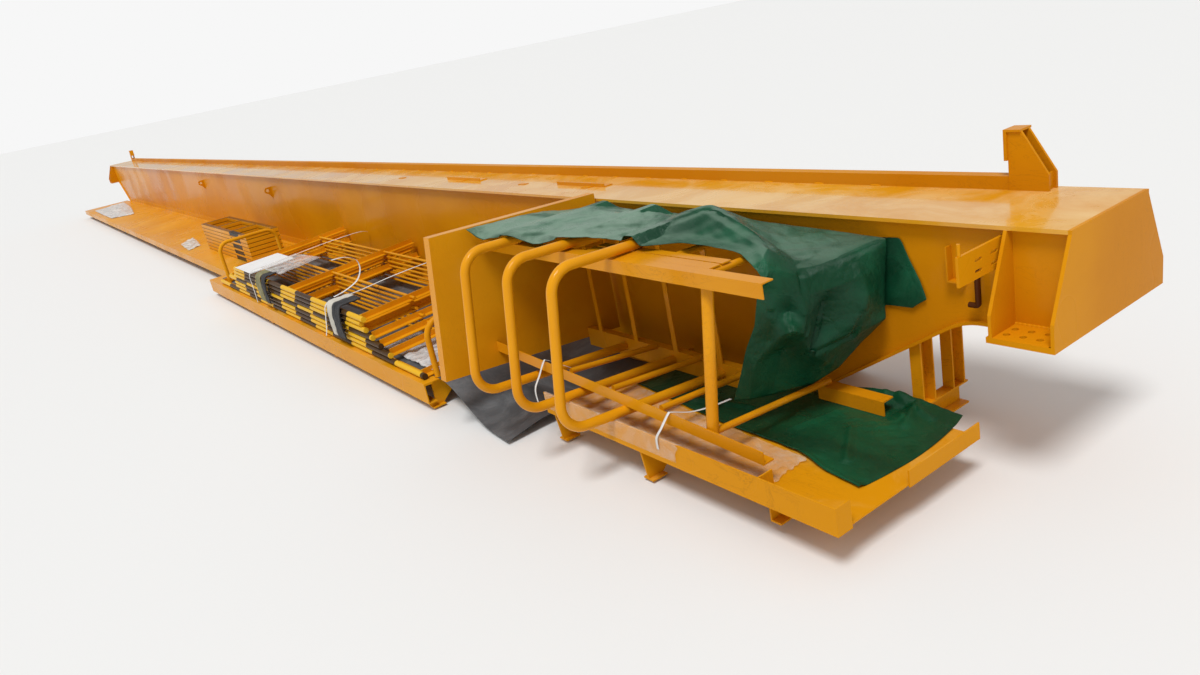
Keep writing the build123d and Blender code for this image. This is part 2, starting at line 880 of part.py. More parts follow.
def upper_rung(x, inner_end):
    """Rung that lies under the flats and slopes down to pass below the inner flat bar."""
    outer_end = post_head_y - post_radius - laid_gap
    outer = top_bar_level() - top_bar_thickness - laid_gap - rung_radius
    inner = bar_c_level() - laid_gap - rung_radius
    fall = (outer - inner) / (outer_end - cage_inner)
    end_height = outer - (outer_end - inner_end) * fall
    return pipe([(x, -outer_end, outer), (x, -inner_end, end_height)], rung_radius)


def cage_top():
    """Angle, two flats and an inner flat bar under the hoops' upper legs, with the rungs below them."""
    top = top_bar_level()
    under = top - top_bar_thickness
    angle = polygon(
        (-bar_a_outer, top - bar_a_leg),
        (-bar_a_outer, top),
        (-bar_a_outer + bar_a_leg, top),
        (-bar_a_outer + bar_a_leg, under),
        (-bar_a_outer + top_bar_thickness, under),
        (-bar_a_outer + top_bar_thickness, top - bar_a_leg),
    )
    bars = [slab_yz(angle, cage_start, half_length - bar_a_from_end)]
    flats_end = half_length - flats_from_end
    for outer, width in zip(flat_outers, flat_widths):
        bars.append(block((flats_end - flats_length, flats_end), (-outer, -outer + width), (under, top)))
    level = bar_c_level()
    bars.append(block(
        (cage_start, half_length - bar_c_from_end),
        (-cage_inner, -cage_inner + bar_c_width),
        (level, level + top_bar_thickness),
    ))
    bars.append(upper_rung(post_x, last_rung_inner))
    for x in rung_positions:
        bars.append(upper_rung(x, cage_inner - bar_c_width))
    save(solids(*bars), "cage_top_bars")


def cage_post():
    """Round post between the lower angle and the top bars, with the long rung at its foot."""
    floor = lower_base(post_x - post_radius) + lower_angle_thickness
    head = top_bar_level() - top_bar_thickness
    lean = (post_foot_y - post_head_y) / (head - floor)
    foot = (post_x, -post_foot_y - lean * post_radius, floor - post_radius)
    top = (post_x, -post_head_y + lean * post_radius, head + post_radius)
    post = pipe([foot, top], post_radius)
    keep = block(
        (post_x - sole_width, post_x + sole_width),
        (-wide_floor_edge, 0),
        (floor, head),
    )
    edge_y = lower_angle_outer - lower_angle_leg
    edge_z = floor + slanted_rung_rise
    rest_z = laid_level + offcut_leg + slanted_rung_rise
    fall = (edge_z - rest_z) / (edge_y - offcut_y)
    rung = pipe(
        [
            (post_x, -post_foot_y, edge_z + (post_foot_y - edge_y) * fall),
            (post_x, -offcut_y, rest_z),
        ],
        rung_radius,
    )
    save((post & keep) + rung, "cage_post")


def cage_panel():
    """Flanged end plate of the cage, its folds turned away from the hoops."""
    outline = polygon(
        (-hoop_reach, panel_outer_bottom),
        (-hoop_head_reach, panel_edge_top),
        (-panel_inner, panel_inner_top),
        (-panel_inner, panel_inner_bottom),
    )
    hollow = offset(outline, amount=-panel_thickness, kind=Kind.INTERSECTION)
    panel = slab_yz(outline, cage_start - panel_thickness - panel_flange, cage_start)
    panel -= slab_yz(hollow, cage_start - panel_thickness - panel_flange, cage_start - panel_thickness)
    save(panel, "cage_panel")


def offcut():
    """Length of angle on the tray, under the inner end of the long rung."""
    low = -offcut_y - offcut_leg / 2
    profile = polygon(
        (low, laid_level),
        (low, laid_level + offcut_leg),
        (low + offcut_leg, laid_level + offcut_leg),
        (low + offcut_leg, laid_level + offcut_leg - offcut_thickness),
        (low + offcut_thickness, laid_level + offcut_leg - offcut_thickness),
        (low + offcut_thickness, laid_level),
    )
    end = half_length - offcut_from_end
    return slab_yz(profile, end - offcut_length, end)


# Railing sections on the wide tray

def stack_tilt():
    """Angle at which the sections lie, from the tray's mat up to the toe angle by the web."""
    rise = ledger_top + laid_gap - laid_level
    run = handrail_y - web_face - ledger_thickness
    return degrees(atan2(rise, run))


def on_stack(shape, layer):
    """Lay a shape, drawn with Y inwards from the handrail and Z up, on this layer of the stack."""
    lift = layer * (railing_post_height + laid_gap)
    return Pos(0, -handrail_y, laid_level) * Rot(stack_tilt(), 0, 0) * Pos(0, 0, lift) * shape


def railing_post(x, length):
    """Angle post of a railing, lying on one leg."""
    profile = polygon(
        (x, 0),
        (x + railing_post_width, 0),
        (x + railing_post_width, railing_post_thickness),
        (x + railing_post_thickness, railing_post_thickness),
        (x + railing_post_thickness, railing_post_height),
        (x, railing_post_height),
    )
    return slab_xz(profile, 0.0, length)


def railing(start, end, returned):
    """One welded section: handrail, two thin rails and angle posts."""
    length = (handrail_y - web_face - post_web_gap) / cos(radians(stack_tilt()))
    stack_height = len(railings_far_from_end) * railing_post_height
    length -= post_trim_share * stack_height * sin(radians(stack_tilt()))
    centre = handrail_radius + laid_gap
    if returned:
        route = [
            (end, 0, centre),
            (start, 0, centre),
            (start, return_reach, centre),
            (start + return_length, return_reach, centre),
        ]
        shape = pipe(route, handrail_radius, return_bend)
    else:
        shape = pipe([(start, 0, centre), (end, 0, centre)], handrail_radius)
    rail_start = start + return_length if returned else start
    first = rail_start + railing_post_end
    last = end - railing_post_end - railing_post_width
    count = round((last - first) / railing_post_pitch)
    for step in range(count):
        shape += railing_post(first + step * railing_post_pitch, length)
    shape += railing_post(last, length)
    for reach in mid_rail_reaches:
        level = railing_post_thickness + mid_rail_radius
        shape += pipe([(first, reach, level), (end, reach, level)], mid_rail_radius)
    return shape


def railing_stack():
    """Seven sections lying on each other, staggered along the tray, with the sign plate on top."""
    spans = zip(railings_far_from_end, railings_near_from_end)
    for layer, (far, near) in enumerate(spans):
        returned = layer + 1 == returned_section
        section = railing(half_length - far, half_length - near, returned)
        save(on_stack(section, layer), f"railing_{layer + 1}")
    sign_start = half_length - sign_from_end
    sign = block(
        (sign_start, sign_start + sign_length),
        (-sign_overhang, sign_width - sign_overhang),
        (handrail_radius + laid_gap, handrail_radius + laid_gap + sign_thickness),
    )
    reach = mid_rail_reaches[0]
    drop = handrail_radius + laid_gap - railing_post_thickness - mid_rail_radius
    lean = asin((handrail_radius - mid_rail_radius) / reach) + atan2(drop, reach)
    laid = Pos(0, 0, handrail_radius + laid_gap) * Rot(-degrees(lean), 0, 0) * sign
    save(on_stack(laid, len(railings_far_from_end) - 1), "sign_plate")


def end_hoops():
    """Upright pipe hoops that stand on the mat at both ends of the stack."""
    places = (
        (half_length - far_hoop_from_end, far_hoop_legs, far_hoop_top),
        (half_length - near_hoop_from_end, near_hoop_legs, near_hoop_top),
    )
    shapes = []
    for x, (inner, outer), top in places:
        crown = top - handrail_radius
        route = [(x, -inner, laid_level), (x, -inner, crown), (x, -outer, crown), (x, -outer, laid_level)]
        shapes.append(pipe(route, handrail_radius, end_hoop_bend))
    save(solids(*shapes), "end_hoops")


def far_stack():
    """Short frames of square bar, stacked on the long walkway."""
    shapes = []
    inner_edges = (-stack_inner - stack_bar, -stack_inner)
    outer_edges = (-stack_outer, -stack_outer + stack_bar)
    stack_end = half_length - stack_from_end
    stack_start = stack_end - stack_length
    pitch = (stack_length - stack_bar) / (stack_crossbars - 1)
    for layer in range(stack_layers):
        low = floor_top + laid_gap + layer * (stack_bar + laid_gap)
        level = (low, low + stack_bar)
        frame = block((stack_start, stack_end), inner_edges, level)
        frame += block((stack_start, stack_end), outer_edges, level)
        for step in range(stack_crossbars):
            x = stack_start + step * pitch
            frame += block((x, x + stack_bar), (-stack_outer + stack_bar, -stack_inner - stack_bar), level)
        shapes.append(frame)
    save(solids(*shapes), "far_railing_stack")


# Soft pieces

def plan_polygon(from_end, out, level):
    """Flat face at a level, through places given by their distances from the end and out to the side."""
    points = [(half_length - along, -across) for along, across in zip(from_end, out)]
    return Pos(0, 0, level) * polygon(*points)


def cage_tarp():
    """Tarpaulin over the cage's hoops, folded down at its near end into a flap that narrows."""
    over = hoop_head_height(tarp_rest_y) + hoop_radius + laid_gap
    from_end = (*tarp_hem_from_end, *tarp_fold_from_end, tarp_hem_from_end[0])
    out = (*tarp_hem_y, *tarp_fold_y, tarp_fold_y[1])
    sheet = extrude(plan_polygon(from_end, out, over), amount=tarp_thickness)
    start = Vector(half_length - tarp_fold_from_end[0], -tarp_fold_y[0])
    end = Vector(half_length - tarp_fold_from_end[1], -tarp_fold_y[1])
    run = end - start
    low_outer, low_middle, low_inner = tarp_flap_bottoms
    flap = polygon(
        (0, over + tarp_thickness),
        (0, low_outer),
        (run.length / 2, low_middle),
        (run.length, low_inner),
        (run.length, over + tarp_thickness),
    )
    fold = Plane(origin=start, x_dir=run, z_dir=Vector(run.Y, -run.X))
    return sheet + extrude(fold * flap, amount=-tarp_thickness)


def mats_and_tarps():
    """Rubber mat on the wide tray that droops from its end, and the two tarpaulins."""
    level = mat_top - mat_thickness / 2
    path = FilletPolyline(
        (half_length - wide_mat_from_end, level),
        (half_length - mat_drop_from_end, level),
        (half_length - mat_low_from_end, mat_low_z),
        (half_length - mat_end_from_end, mat_end_z),
        radius=list(mat_bends),
    )
    save(slab_xz(trace(path, mat_thickness), -wide_mat_outer, -wide_mat_inner), "rubber_mat")
    tray = plan_polygon(tray_tarp_from_end, tray_tarp_y, floor_top + laid_gap)
    save(extrude(tray, amount=mat_thickness), "tarp_tray")
    save(cage_tarp(), "tarp_cage")


os.makedirs("parts", exist_ok=True)
girder_box()
end_seats()
rail_and_stops()
web_eyes()
rail_side_brackets()
web_fittings()
loose_angles()
walkway_floors()
edge_beams()
walkway_bearers()
near_tray()
hangers()
cage_hoops()
cage_lower_frame()
cage_top()
cage_post()
cage_panel()
railing_stack()
end_hoops()
far_stack()
mats_and_tarps()
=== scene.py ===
"""Looks of a packed overhead crane girder: paint, films, tarpaulins, mats and welds on the fixed frame."""

import json
import logging
import math
from dataclasses import dataclass
from enum import Enum
from typing import Callable, Sequence

import bpy
from mathutils import Matrix, Vector, noise

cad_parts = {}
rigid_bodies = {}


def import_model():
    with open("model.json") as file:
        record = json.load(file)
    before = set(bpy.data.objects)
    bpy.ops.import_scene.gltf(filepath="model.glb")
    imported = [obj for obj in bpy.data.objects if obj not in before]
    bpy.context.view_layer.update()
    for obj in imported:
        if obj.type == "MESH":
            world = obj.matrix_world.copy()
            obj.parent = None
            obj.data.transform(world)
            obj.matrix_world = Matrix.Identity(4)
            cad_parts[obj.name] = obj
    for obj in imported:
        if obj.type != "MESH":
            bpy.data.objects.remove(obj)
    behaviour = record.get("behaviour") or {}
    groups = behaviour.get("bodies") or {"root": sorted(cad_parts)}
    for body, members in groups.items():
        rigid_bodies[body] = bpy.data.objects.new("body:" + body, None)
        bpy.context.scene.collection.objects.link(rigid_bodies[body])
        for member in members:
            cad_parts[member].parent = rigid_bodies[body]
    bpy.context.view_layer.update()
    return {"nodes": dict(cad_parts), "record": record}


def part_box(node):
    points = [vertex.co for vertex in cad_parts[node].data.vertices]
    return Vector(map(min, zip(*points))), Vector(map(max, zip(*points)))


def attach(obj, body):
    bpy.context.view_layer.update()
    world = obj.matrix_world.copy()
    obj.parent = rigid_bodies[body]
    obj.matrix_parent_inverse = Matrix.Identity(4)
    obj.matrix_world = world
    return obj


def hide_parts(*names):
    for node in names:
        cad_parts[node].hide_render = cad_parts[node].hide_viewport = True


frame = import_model()

log = logging.getLogger("girder")

Material, Piece = bpy.types.Material, bpy.types.Object
Node, NodeTree, Socket = bpy.types.Node, bpy.types.NodeTree, bpy.types.NodeSocket
Triple = tuple[float, float, float]
Colour = Point = Crease = Triple
Place = Callable[[float, float], Vector]
Ripple = Callable[[float], float]

# Places of the Mix node's own sockets for colours and for vectors
MIX_COLOURS, MIX_COLOUR = (6, 7), 2
MIX_VECTORS, MIX_VECTOR = (4, 5), 1
BODY = "root"
CLOTH_THICKNESS = 0.0012
FILM_THICKNESS = 0.0004
BAND_THICKNESS = 0.0012
ROUND_ANGLE = 60.0
FILM_ANGLE = 50.0


class Slot(Enum):
    """The record's material slots."""

    GIRDER = "girder_paint"
    WALKWAY = "walkway_paint"
    CAGE = "cage_paint"
    RAILING = "railing_paint"
    SIGN = "sign_white"
    MAT = "mat_rubber"
    TARP = "tarp_cloth"


class Band(Enum):
    """The two colours of a striped handrail."""

    YELLOW = (0.76, 0.44, 0.02)
    BLACK = (0.012, 0.012, 0.013)


class Tree:
    """Short calls that add nodes to one node tree and join them."""

    def __init__(self, tree: NodeTree) -> None:
        """Keep the tree that the calls add to."""
        self.tree = tree

    def add(self, kind: str, **settings: object) -> Node:
        """Add one node.

        Args:
            kind: Blender's name of the node type.
            settings: properties of the node, by name.

        Returns:
            The new node.
        """
        node = self.tree.nodes.new(kind)
        for name, value in settings.items():
            setattr(node, name, value)
        return node

    def feed(self, socket: Socket, value: object) -> None:
        """Join an output to an input, or set the input's own value."""
        if isinstance(value, Socket):
            self.tree.links.new(value, socket)
        else:
            socket.default_value = value

    def place(self) -> Socket:
        """The Object coordinates, in metres."""
        return self.add("ShaderNodeTexCoord").outputs["Object"]

    def uv(self) -> Socket:
        """The piece's own UV map."""
        return self.add("ShaderNodeTexCoord").outputs["UV"]

    def stretched(self, vector: Socket, scale: Point, turn: float = 0.0) -> Socket:
        """Coordinates scaled on each axis and turned about Z."""
        node = self.add("ShaderNodeMapping")
        self.feed(node.inputs["Vector"], vector)
        node.inputs["Scale"].default_value = scale
        node.inputs["Rotation"].default_value = (0.0, 0.0, turn)
        return node.outputs["Vector"]

    def noise(
        self, vector: Socket, scale: object, detail: float = 3.0, rough: float = 0.5, warp: float = 0.0
    ) -> Socket:
        """Cloud noise.

        Args:
            vector: coordinates.
            scale: clouds a metre, a number or a socket.
            detail: octaves.
            rough: weight of the fine octaves.
            warp: distortion.

        Returns:
            The noise's Fac output.
        """
        node = self.add("ShaderNodeTexNoise")
        self.feed(node.inputs["Vector"], vector)
        self.feed(node.inputs["Scale"], scale)
        node.inputs["Detail"].default_value = detail
        node.inputs["Roughness"].default_value = rough
        node.inputs["Distortion"].default_value = warp
        return node.outputs["Fac"]

    def maths(self, operation: str, first: object, second: object = 0.0) -> Socket:
        """One sum on two numbers."""
        node = self.add("ShaderNodeMath", operation=operation)
        self.feed(node.inputs[0], first)
        self.feed(node.inputs[1], second)
        return node.outputs[0]

    def spread(
        self, value: object, low: object, high: object, to_low: float = 0.0, to_high: float = 1.0
    ) -> Socket:
        """Stretch a value from one range to another, clamped and smooth at both ends."""
        node = self.add("ShaderNodeMapRange", interpolation_type="SMOOTHSTEP")
        names = ("Value", "From Min", "From Max", "To Min", "To Max")
        for name, number in zip(names, (value, low, high, to_low, to_high)):
            self.feed(node.inputs[name], number)
        return node.outputs["Result"]

    def within(self, value: object, low: object, high: object) -> Socket:
        """1 between two numbers and 0 outside them."""
        above = self.maths("GREATER_THAN", value, low)
        return self.maths("MULTIPLY", above, self.maths("LESS_THAN", value, high))

    def cycle(self, value: object, start: float, pitch: float) -> Socket:
        """How far a value is through its cycle, from 0 to 1, with the first cycle at the start."""
        return self.maths("FRACT", self.maths("DIVIDE", self.maths("SUBTRACT", value, start), pitch))

    def mix(self, factor: object, first: object, second: object, way: str = "MIX") -> Socket:
        """Mix two colours.

        Args:
            factor: share of the second colour.
            first: a colour or a socket.
            second: a colour or a socket.
            way: Blender's name of the blend type.

        Returns:
            The mixed colour.
        """
        node = self.add("ShaderNodeMix", data_type="RGBA", blend_type=way)
        self.feed(node.inputs["Factor"], factor)
        for place, value in zip(MIX_COLOURS, (first, second)):
            self.feed(node.inputs[place], value if isinstance(value, Socket) else (*value, 1.0))
        return node.outputs[MIX_COLOUR]

    def split(self, vector: Socket) -> Sequence[Socket]:
        """The three parts of a vector."""
        node = self.add("ShaderNodeSeparateXYZ")
        self.feed(node.inputs[0], vector)
        return node.outputs

    def bump(self, height: object, depth: float, strength: float = 1.0, under: object = None) -> Socket:
        """A bumped normal.

        Args:
            height: the height field.
            depth: its depth in metres.
            strength: share of the effect.
            under: a normal that it is laid on.

        Returns:
            The normal.
        """
        node = self.add("ShaderNodeBump")
        self.feed(node.inputs["Height"], height)
        node.inputs["Distance"].default_value = depth
        node.inputs["Strength"].default_value = strength
        if under is not None:
            self.feed(node.inputs["Normal"], under)
        return node.outputs["Normal"]


class Effects:
    """Shader node groups that several finishes share, each built once."""

    built: dict[str, NodeTree] = {}

    @classmethod
    def group(cls, name: str) -> NodeTree:
        """The named effect's node group, built on first use by the method of that name."""
        if name not in cls.built:
            cls.built[name] = getattr(cls, name)()
        return cls.built[name]

    @classmethod
    def use(cls, tree: Tree, name: str, **values: object) -> Node:
        """Place an effect in a material.

        Args:
            tree: the material's tree.
            name: the effect's name.
            values: its inputs by name, with an underscore for each space.

        Returns:
            The group node.
        """
        node = tree.add("ShaderNodeGroup", node_tree=cls.group(name))
        for key, value in values.items():
            tree.feed(node.inputs[key.replace("_", " ")], value)
        return node

    @staticmethod
    def start(name: str, inputs: dict[str, float], outputs: Sequence[str]) -> tuple[Tree, Node, Node]:
        """Start a group whose inputs and outputs are all numbers.

        Args:
            name: the group's name.
            inputs: the inputs' names and their values.
            outputs: the outputs' names.

        Returns:
            The group's tree, its input node and its output node.
        """
        group = bpy.data.node_groups.new(name, "ShaderNodeTree")
        for label, value in inputs.items():
            socket = group.interface.new_socket(label, in_out="INPUT", socket_type="NodeSocketFloat")
            socket.default_value = value
        for label in outputs:
            group.interface.new_socket(label, in_out="OUTPUT", socket_type="NodeSocketFloat")
        tree = Tree(group)
        return tree, tree.add("NodeGroupInput"), tree.add("NodeGroupOutput")

    @classmethod
    def dust(cls) -> NodeTree:
        """Dust and rub marks that settle on faces that look up; on the tarpaulins the same mask also paints a
        sheen on level facets.
        """
        inputs = {"Scale": 3.0, "Cover": 0.5, "Steep": 0.25, "Level": 0.9}
        tree, given, result = cls.start("dust", inputs, ["Mask"])
        facing = tree.split(tree.add("ShaderNodeNewGeometry").outputs["Normal"])[2]
        upward = tree.spread(facing, given.outputs["Steep"], given.outputs["Level"])
        clouds = tree.noise(tree.place(), given.outputs["Scale"], detail=6.0, rough=0.65, warp=0.6)
        limit = tree.maths("SUBTRACT", 1.0, given.outputs["Cover"])
        patches = tree.spread(clouds, limit, tree.maths("ADD", limit, 0.25))
        tree.feed(result.inputs["Mask"], tree.maths("MULTIPLY", patches, upward))
        return tree.tree

    @classmethod
    def sprayed(cls) -> NodeTree:
        """Sprayed enamel: fine orange peel over slow waves of the plate, with uneven thickness."""
        inputs = {"Peel scale": 260.0, "Wave scale": 1.6}
        tree, given, result = cls.start("sprayed", inputs, ["Peel", "Waves", "Tone"])
        place = tree.place()
        peel = tree.noise(place, given.outputs["Peel scale"], detail=2.0, rough=0.5)
        waves = tree.noise(place, given.outputs["Wave scale"], detail=2.0, rough=0.4)
        tone = tree.noise(tree.stretched(place, (0.6, 1.0, 1.0)), 1.3, detail=5.0, rough=0.55, warp=0.3)
        for label, value in (("Peel", peel), ("Waves", waves), ("Tone", tone)):
            tree.feed(result.inputs[label], value)
        return tree.tree

    @classmethod
    def scuffs(cls) -> NodeTree:
        """Thin dark scratches and small chips."""
        tree, given, result = cls.start("scuffs", {"Scale": 5.0, "Amount": 0.3}, ["Mask"])
        place = tree.place()
        long_way = tree.stretched(place, (1.0, 7.0, 2.2), turn=0.5)
        lines = tree.noise(long_way, given.outputs["Scale"], detail=5.0, rough=0.7, warp=1.2)
        off_middle = tree.maths("ABSOLUTE", tree.maths("SUBTRACT", lines, 0.5))
        thin = tree.spread(off_middle, 0.004, 0.014, to_low=1.0, to_high=0.0)
        spots = tree.spread(tree.noise(place, 60.0, detail=2.0, rough=0.6), 0.72, 0.78)
        where = tree.spread(tree.noise(place, 0.9, detail=3.0, rough=0.6), 0.48, 0.62)
        both = tree.maths("MULTIPLY", tree.maths("MAXIMUM", thin, spots), where)
        tree.feed(result.inputs["Mask"], tree.maths("MULTIPLY", both, given.outputs["Amount"]))
        return tree.tree

    @classmethod
    def weave(cls) -> NodeTree:
        """Crossed tapes of a woven sheet, read from the sheet's own UV map."""
        tree, given, result = cls.start("weave", {"Across": 300.0, "Along": 300.0}, ["Height"])
        waves = []
        for part, count in zip(tree.split(tree.uv()), ("Across", "Along")):
            turns = tree.maths("MULTIPLY", part, given.outputs[count])
            waves.append(tree.maths("SINE", tree.maths("MULTIPLY", turns, 2.0 * math.pi)))
        tree.feed(result.inputs["Height"], tree.maths("MULTIPLY", *waves))
        return tree.tree

    @classmethod
    def crumple(cls) -> NodeTree:
        """Sharp creases of a sheet that was folded and unfolded many times."""
        tree, given, result = cls.start("crumple", {"Scale": 6.0, "Edge": 0.5}, ["Height"])
        place = tree.place()
        drift = tree.add("ShaderNodeTexNoise")
        tree.feed(drift.inputs["Vector"], place)
        bent = tree.add("ShaderNodeMix", data_type="VECTOR")
        bent.inputs["Factor"].default_value = 0.12
        for socket, vector in zip(MIX_VECTORS, (place, drift.outputs["Color"])):
            tree.feed(bent.inputs[socket], vector)
        height = None
        for step, weight in ((1.0, 0.6), (2.7, 0.3), (6.5, 0.1)):
            cells = tree.add("ShaderNodeTexVoronoi", feature="DISTANCE_TO_EDGE")
            tree.feed(cells.inputs["Vector"], bent.outputs[MIX_VECTOR])
            tree.feed(cells.inputs["Scale"], tree.maths("MULTIPLY", given.outputs["Scale"], step))
            layer = tree.maths("MULTIPLY", cells.outputs["Distance"], weight)
            height = layer if height is None else tree.maths("ADD", height, layer)
        tree.feed(result.inputs["Height"], tree.maths("POWER", height, given.outputs["Edge"]))
        return tree.tree


@dataclass(frozen=True)
class Finish:
    """A finish: its name and its main colour."""

    name: str
    colour: Colour

    def begin(self) -> tuple[Material, Tree, Node]:
        """Start the material.

        Returns:
            The material, its tree and its Principled BSDF.
        """
        material = bpy.data.materials.new(self.name)
        material.use_nodes = True
        material.node_tree.nodes.clear()
        tree = Tree(material.node_tree)
        shader = tree.add("ShaderNodeBsdfPrincipled")
        output = tree.add("ShaderNodeOutputMaterial")
        tree.feed(output.inputs["Surface"], shader.outputs["BSDF"])
        return material, tree, shader

    def material(self) -> Material:
        """Build the material. Each kind of finish has its own."""
        raise NotImplementedError


@dataclass(frozen=True)
class GlossPaint(Finish):
    """Gloss enamel on steel: uneven, glossy and dull in patches, dusty on top, scratched in places."""

    deep: Colour = (0.60, 0.220, 0.0025)
    dust_colour: Colour = (0.78, 0.46, 0.12)
    rub: Colour = (0.30, 0.105, 0.006)
    roughness: float = 0.20
    dull: float = 0.14
    dusty_dull: float = 0.12
    dust: float = 0.35
    dust_share: float = 0.35
    wear: float = 0.25
    waves: float = 0.003
    peel: float = 0.00003
    coat: float = 0.04
    coat_roughness: float = 0.06
    specular: float = 0.04

    def film(self, tree: Tree) -> tuple[Socket, Socket, Socket]:
        """Colour, roughness and normal of the paint film.

        Args:
            tree: the material's tree.

        Returns:
            The three outputs.
        """
        film = Effects.use(tree, "sprayed")
        dust = Effects.use(tree, "dust", Cover=self.dust).outputs["Mask"]
        wear = Effects.use(tree, "scuffs", Amount=self.wear).outputs["Mask"]
        colour = tree.mix(tree.spread(film.outputs["Tone"], 0.36, 0.62), self.deep, self.colour)
        colour = tree.mix(tree.maths("MULTIPLY", dust, self.dust_share), colour, self.dust_colour)
        colour = tree.mix(wear, colour, self.rub)
        rough = tree.spread(film.outputs["Waves"], 0.35, 0.65, self.roughness, self.roughness + self.dull)
        rough = tree.maths("ADD", rough, tree.maths("MULTIPLY", dust, self.dusty_dull))
        wavy = tree.bump(film.outputs["Waves"], self.waves)
        return colour, rough, tree.bump(film.outputs["Peel"], self.peel, under=wavy)

    def marked(self, tree: Tree, colour: Socket) -> Socket:
        """The film's colour with this paint's own markings, of which the plain enamel has none."""
        return colour

    def shaped(self, tree: Tree, normal: Socket) -> Socket:
        """The film's normal with this paint's own relief, of which the plain enamel has none."""
        return normal

    def material(self) -> Material:
        """Build the material."""
        material, tree, shader = self.begin()
        colour, rough, normal = self.film(tree)
        tree.feed(shader.inputs["Base Color"], self.marked(tree, colour))
        tree.feed(shader.inputs["Roughness"], rough)
        tree.feed(shader.inputs["Normal"], self.shaped(tree, normal))
        shader.inputs["Coat Weight"].default_value = self.coat
        shader.inputs["Coat Roughness"].default_value = self.coat_roughness
        shader.inputs["Specular IOR Level"].default_value = self.specular
        return material


@dataclass(frozen=True)
class FittingsPaint(GlossPaint):
    """Paint of the web's fittings, with the hook bar coloured dark brown-black."""

    bar_start: float = 0.0
    bar_end: float = 0.0
    bar_top: float = 0.0
    dark_hook_colour: Colour = (0.085, 0.024, 0.006)

    def marked(self, tree: Tree, colour: Socket) -> Socket:
        """The paint's colour, with the hook bar coloured dark brown-black."""
        parts = tree.split(tree.place())
        bar = tree.within(parts[0], self.bar_start, self.bar_end)
        bar = tree.maths("MULTIPLY", bar, tree.maths("LESS_THAN", parts[2], self.bar_top))
        return tree.mix(bar, colour, self.dark_hook_colour)


@dataclass(frozen=True)
class StripedPaint(GlossPaint):
    """Railing paint, with black bands round the handrail along the outer edge."""

    edge: float = 0.0
    depth: float = 0.036
    start: float = 0.0
    band: float = 0.34
    cover: float = 0.92

    def marked(self, tree: Tree, colour: Socket) -> Socket:
        """The paint's colour under the bands."""
        parts = tree.split(tree.place())
        black = tree.maths("GREATER_THAN", tree.cycle(parts[0], self.start, 2.0 * self.band), 0.5)
        bands = tree.mix(black, Band.YELLOW.value, Band.BLACK.value)
        outside = tree.maths("LESS_THAN", parts[1], self.edge + self.depth)
        return tree.mix(tree.maths("MULTIPLY", outside, self.cover), colour, bands)


@dataclass(frozen=True)
class BundlePaint(GlossPaint):
    """Paint of the far bundle of frames, with painted shade in the seams between layers and black wraps on
    the outer bars.
    """

    low: float = 0.0
    outer: float = 0.0
    depth: float = 0.043
    layer: float = 0.0423
    seam: float = 0.16
    seam_shade_cover: float = 0.85
    seam_shade_colour: Colour = (0.10, 0.026, 0.002)
    seam_depth: float = 0.003
    wrap_start: float = 1.80
    wrap_end: float = 2.18
    wrap_pitch: float = 0.065
    wrap_share: float = 0.66

    def seams(self, tree: Tree) -> Socket:
        """The seams between the layers, from 0 in a layer's middle to 1 at its edges."""
        share = tree.cycle(tree.split(tree.place())[2], self.low, self.layer)
        edge = tree.maths("ABSOLUTE", tree.maths("SUBTRACT", share, 0.5))
        return tree.spread(edge, 0.5 - self.seam, 0.5)

    def marked(self, tree: Tree, colour: Socket) -> Socket:
        """The paint's colour with painted shade in the seams, and the wraps."""
        # painted shade: each seam between layers is darkened where shade would fall between the bars
        colour = tree.mix(tree.maths("MULTIPLY", self.seams(tree), self.seam_shade_cover), colour, self.seam_shade_colour)
        parts = tree.split(tree.place())
        wrap = tree.within(parts[0], self.wrap_start, self.wrap_end)
        wrap = tree.maths("MULTIPLY", wrap, tree.maths("LESS_THAN", parts[1], self.outer + self.depth))
        turn = tree.maths("LESS_THAN", tree.cycle(parts[2], self.low, self.wrap_pitch), self.wrap_share)
        return tree.mix(tree.maths("MULTIPLY", wrap, turn), colour, Band.BLACK.value)

    def shaped(self, tree: Tree, normal: Socket) -> Socket:
        """The film's normal, with the seams sunk in."""
        rounded = tree.bump(self.seams(tree), self.seam_depth, under=normal)
        rounded.node.invert = True
        return rounded


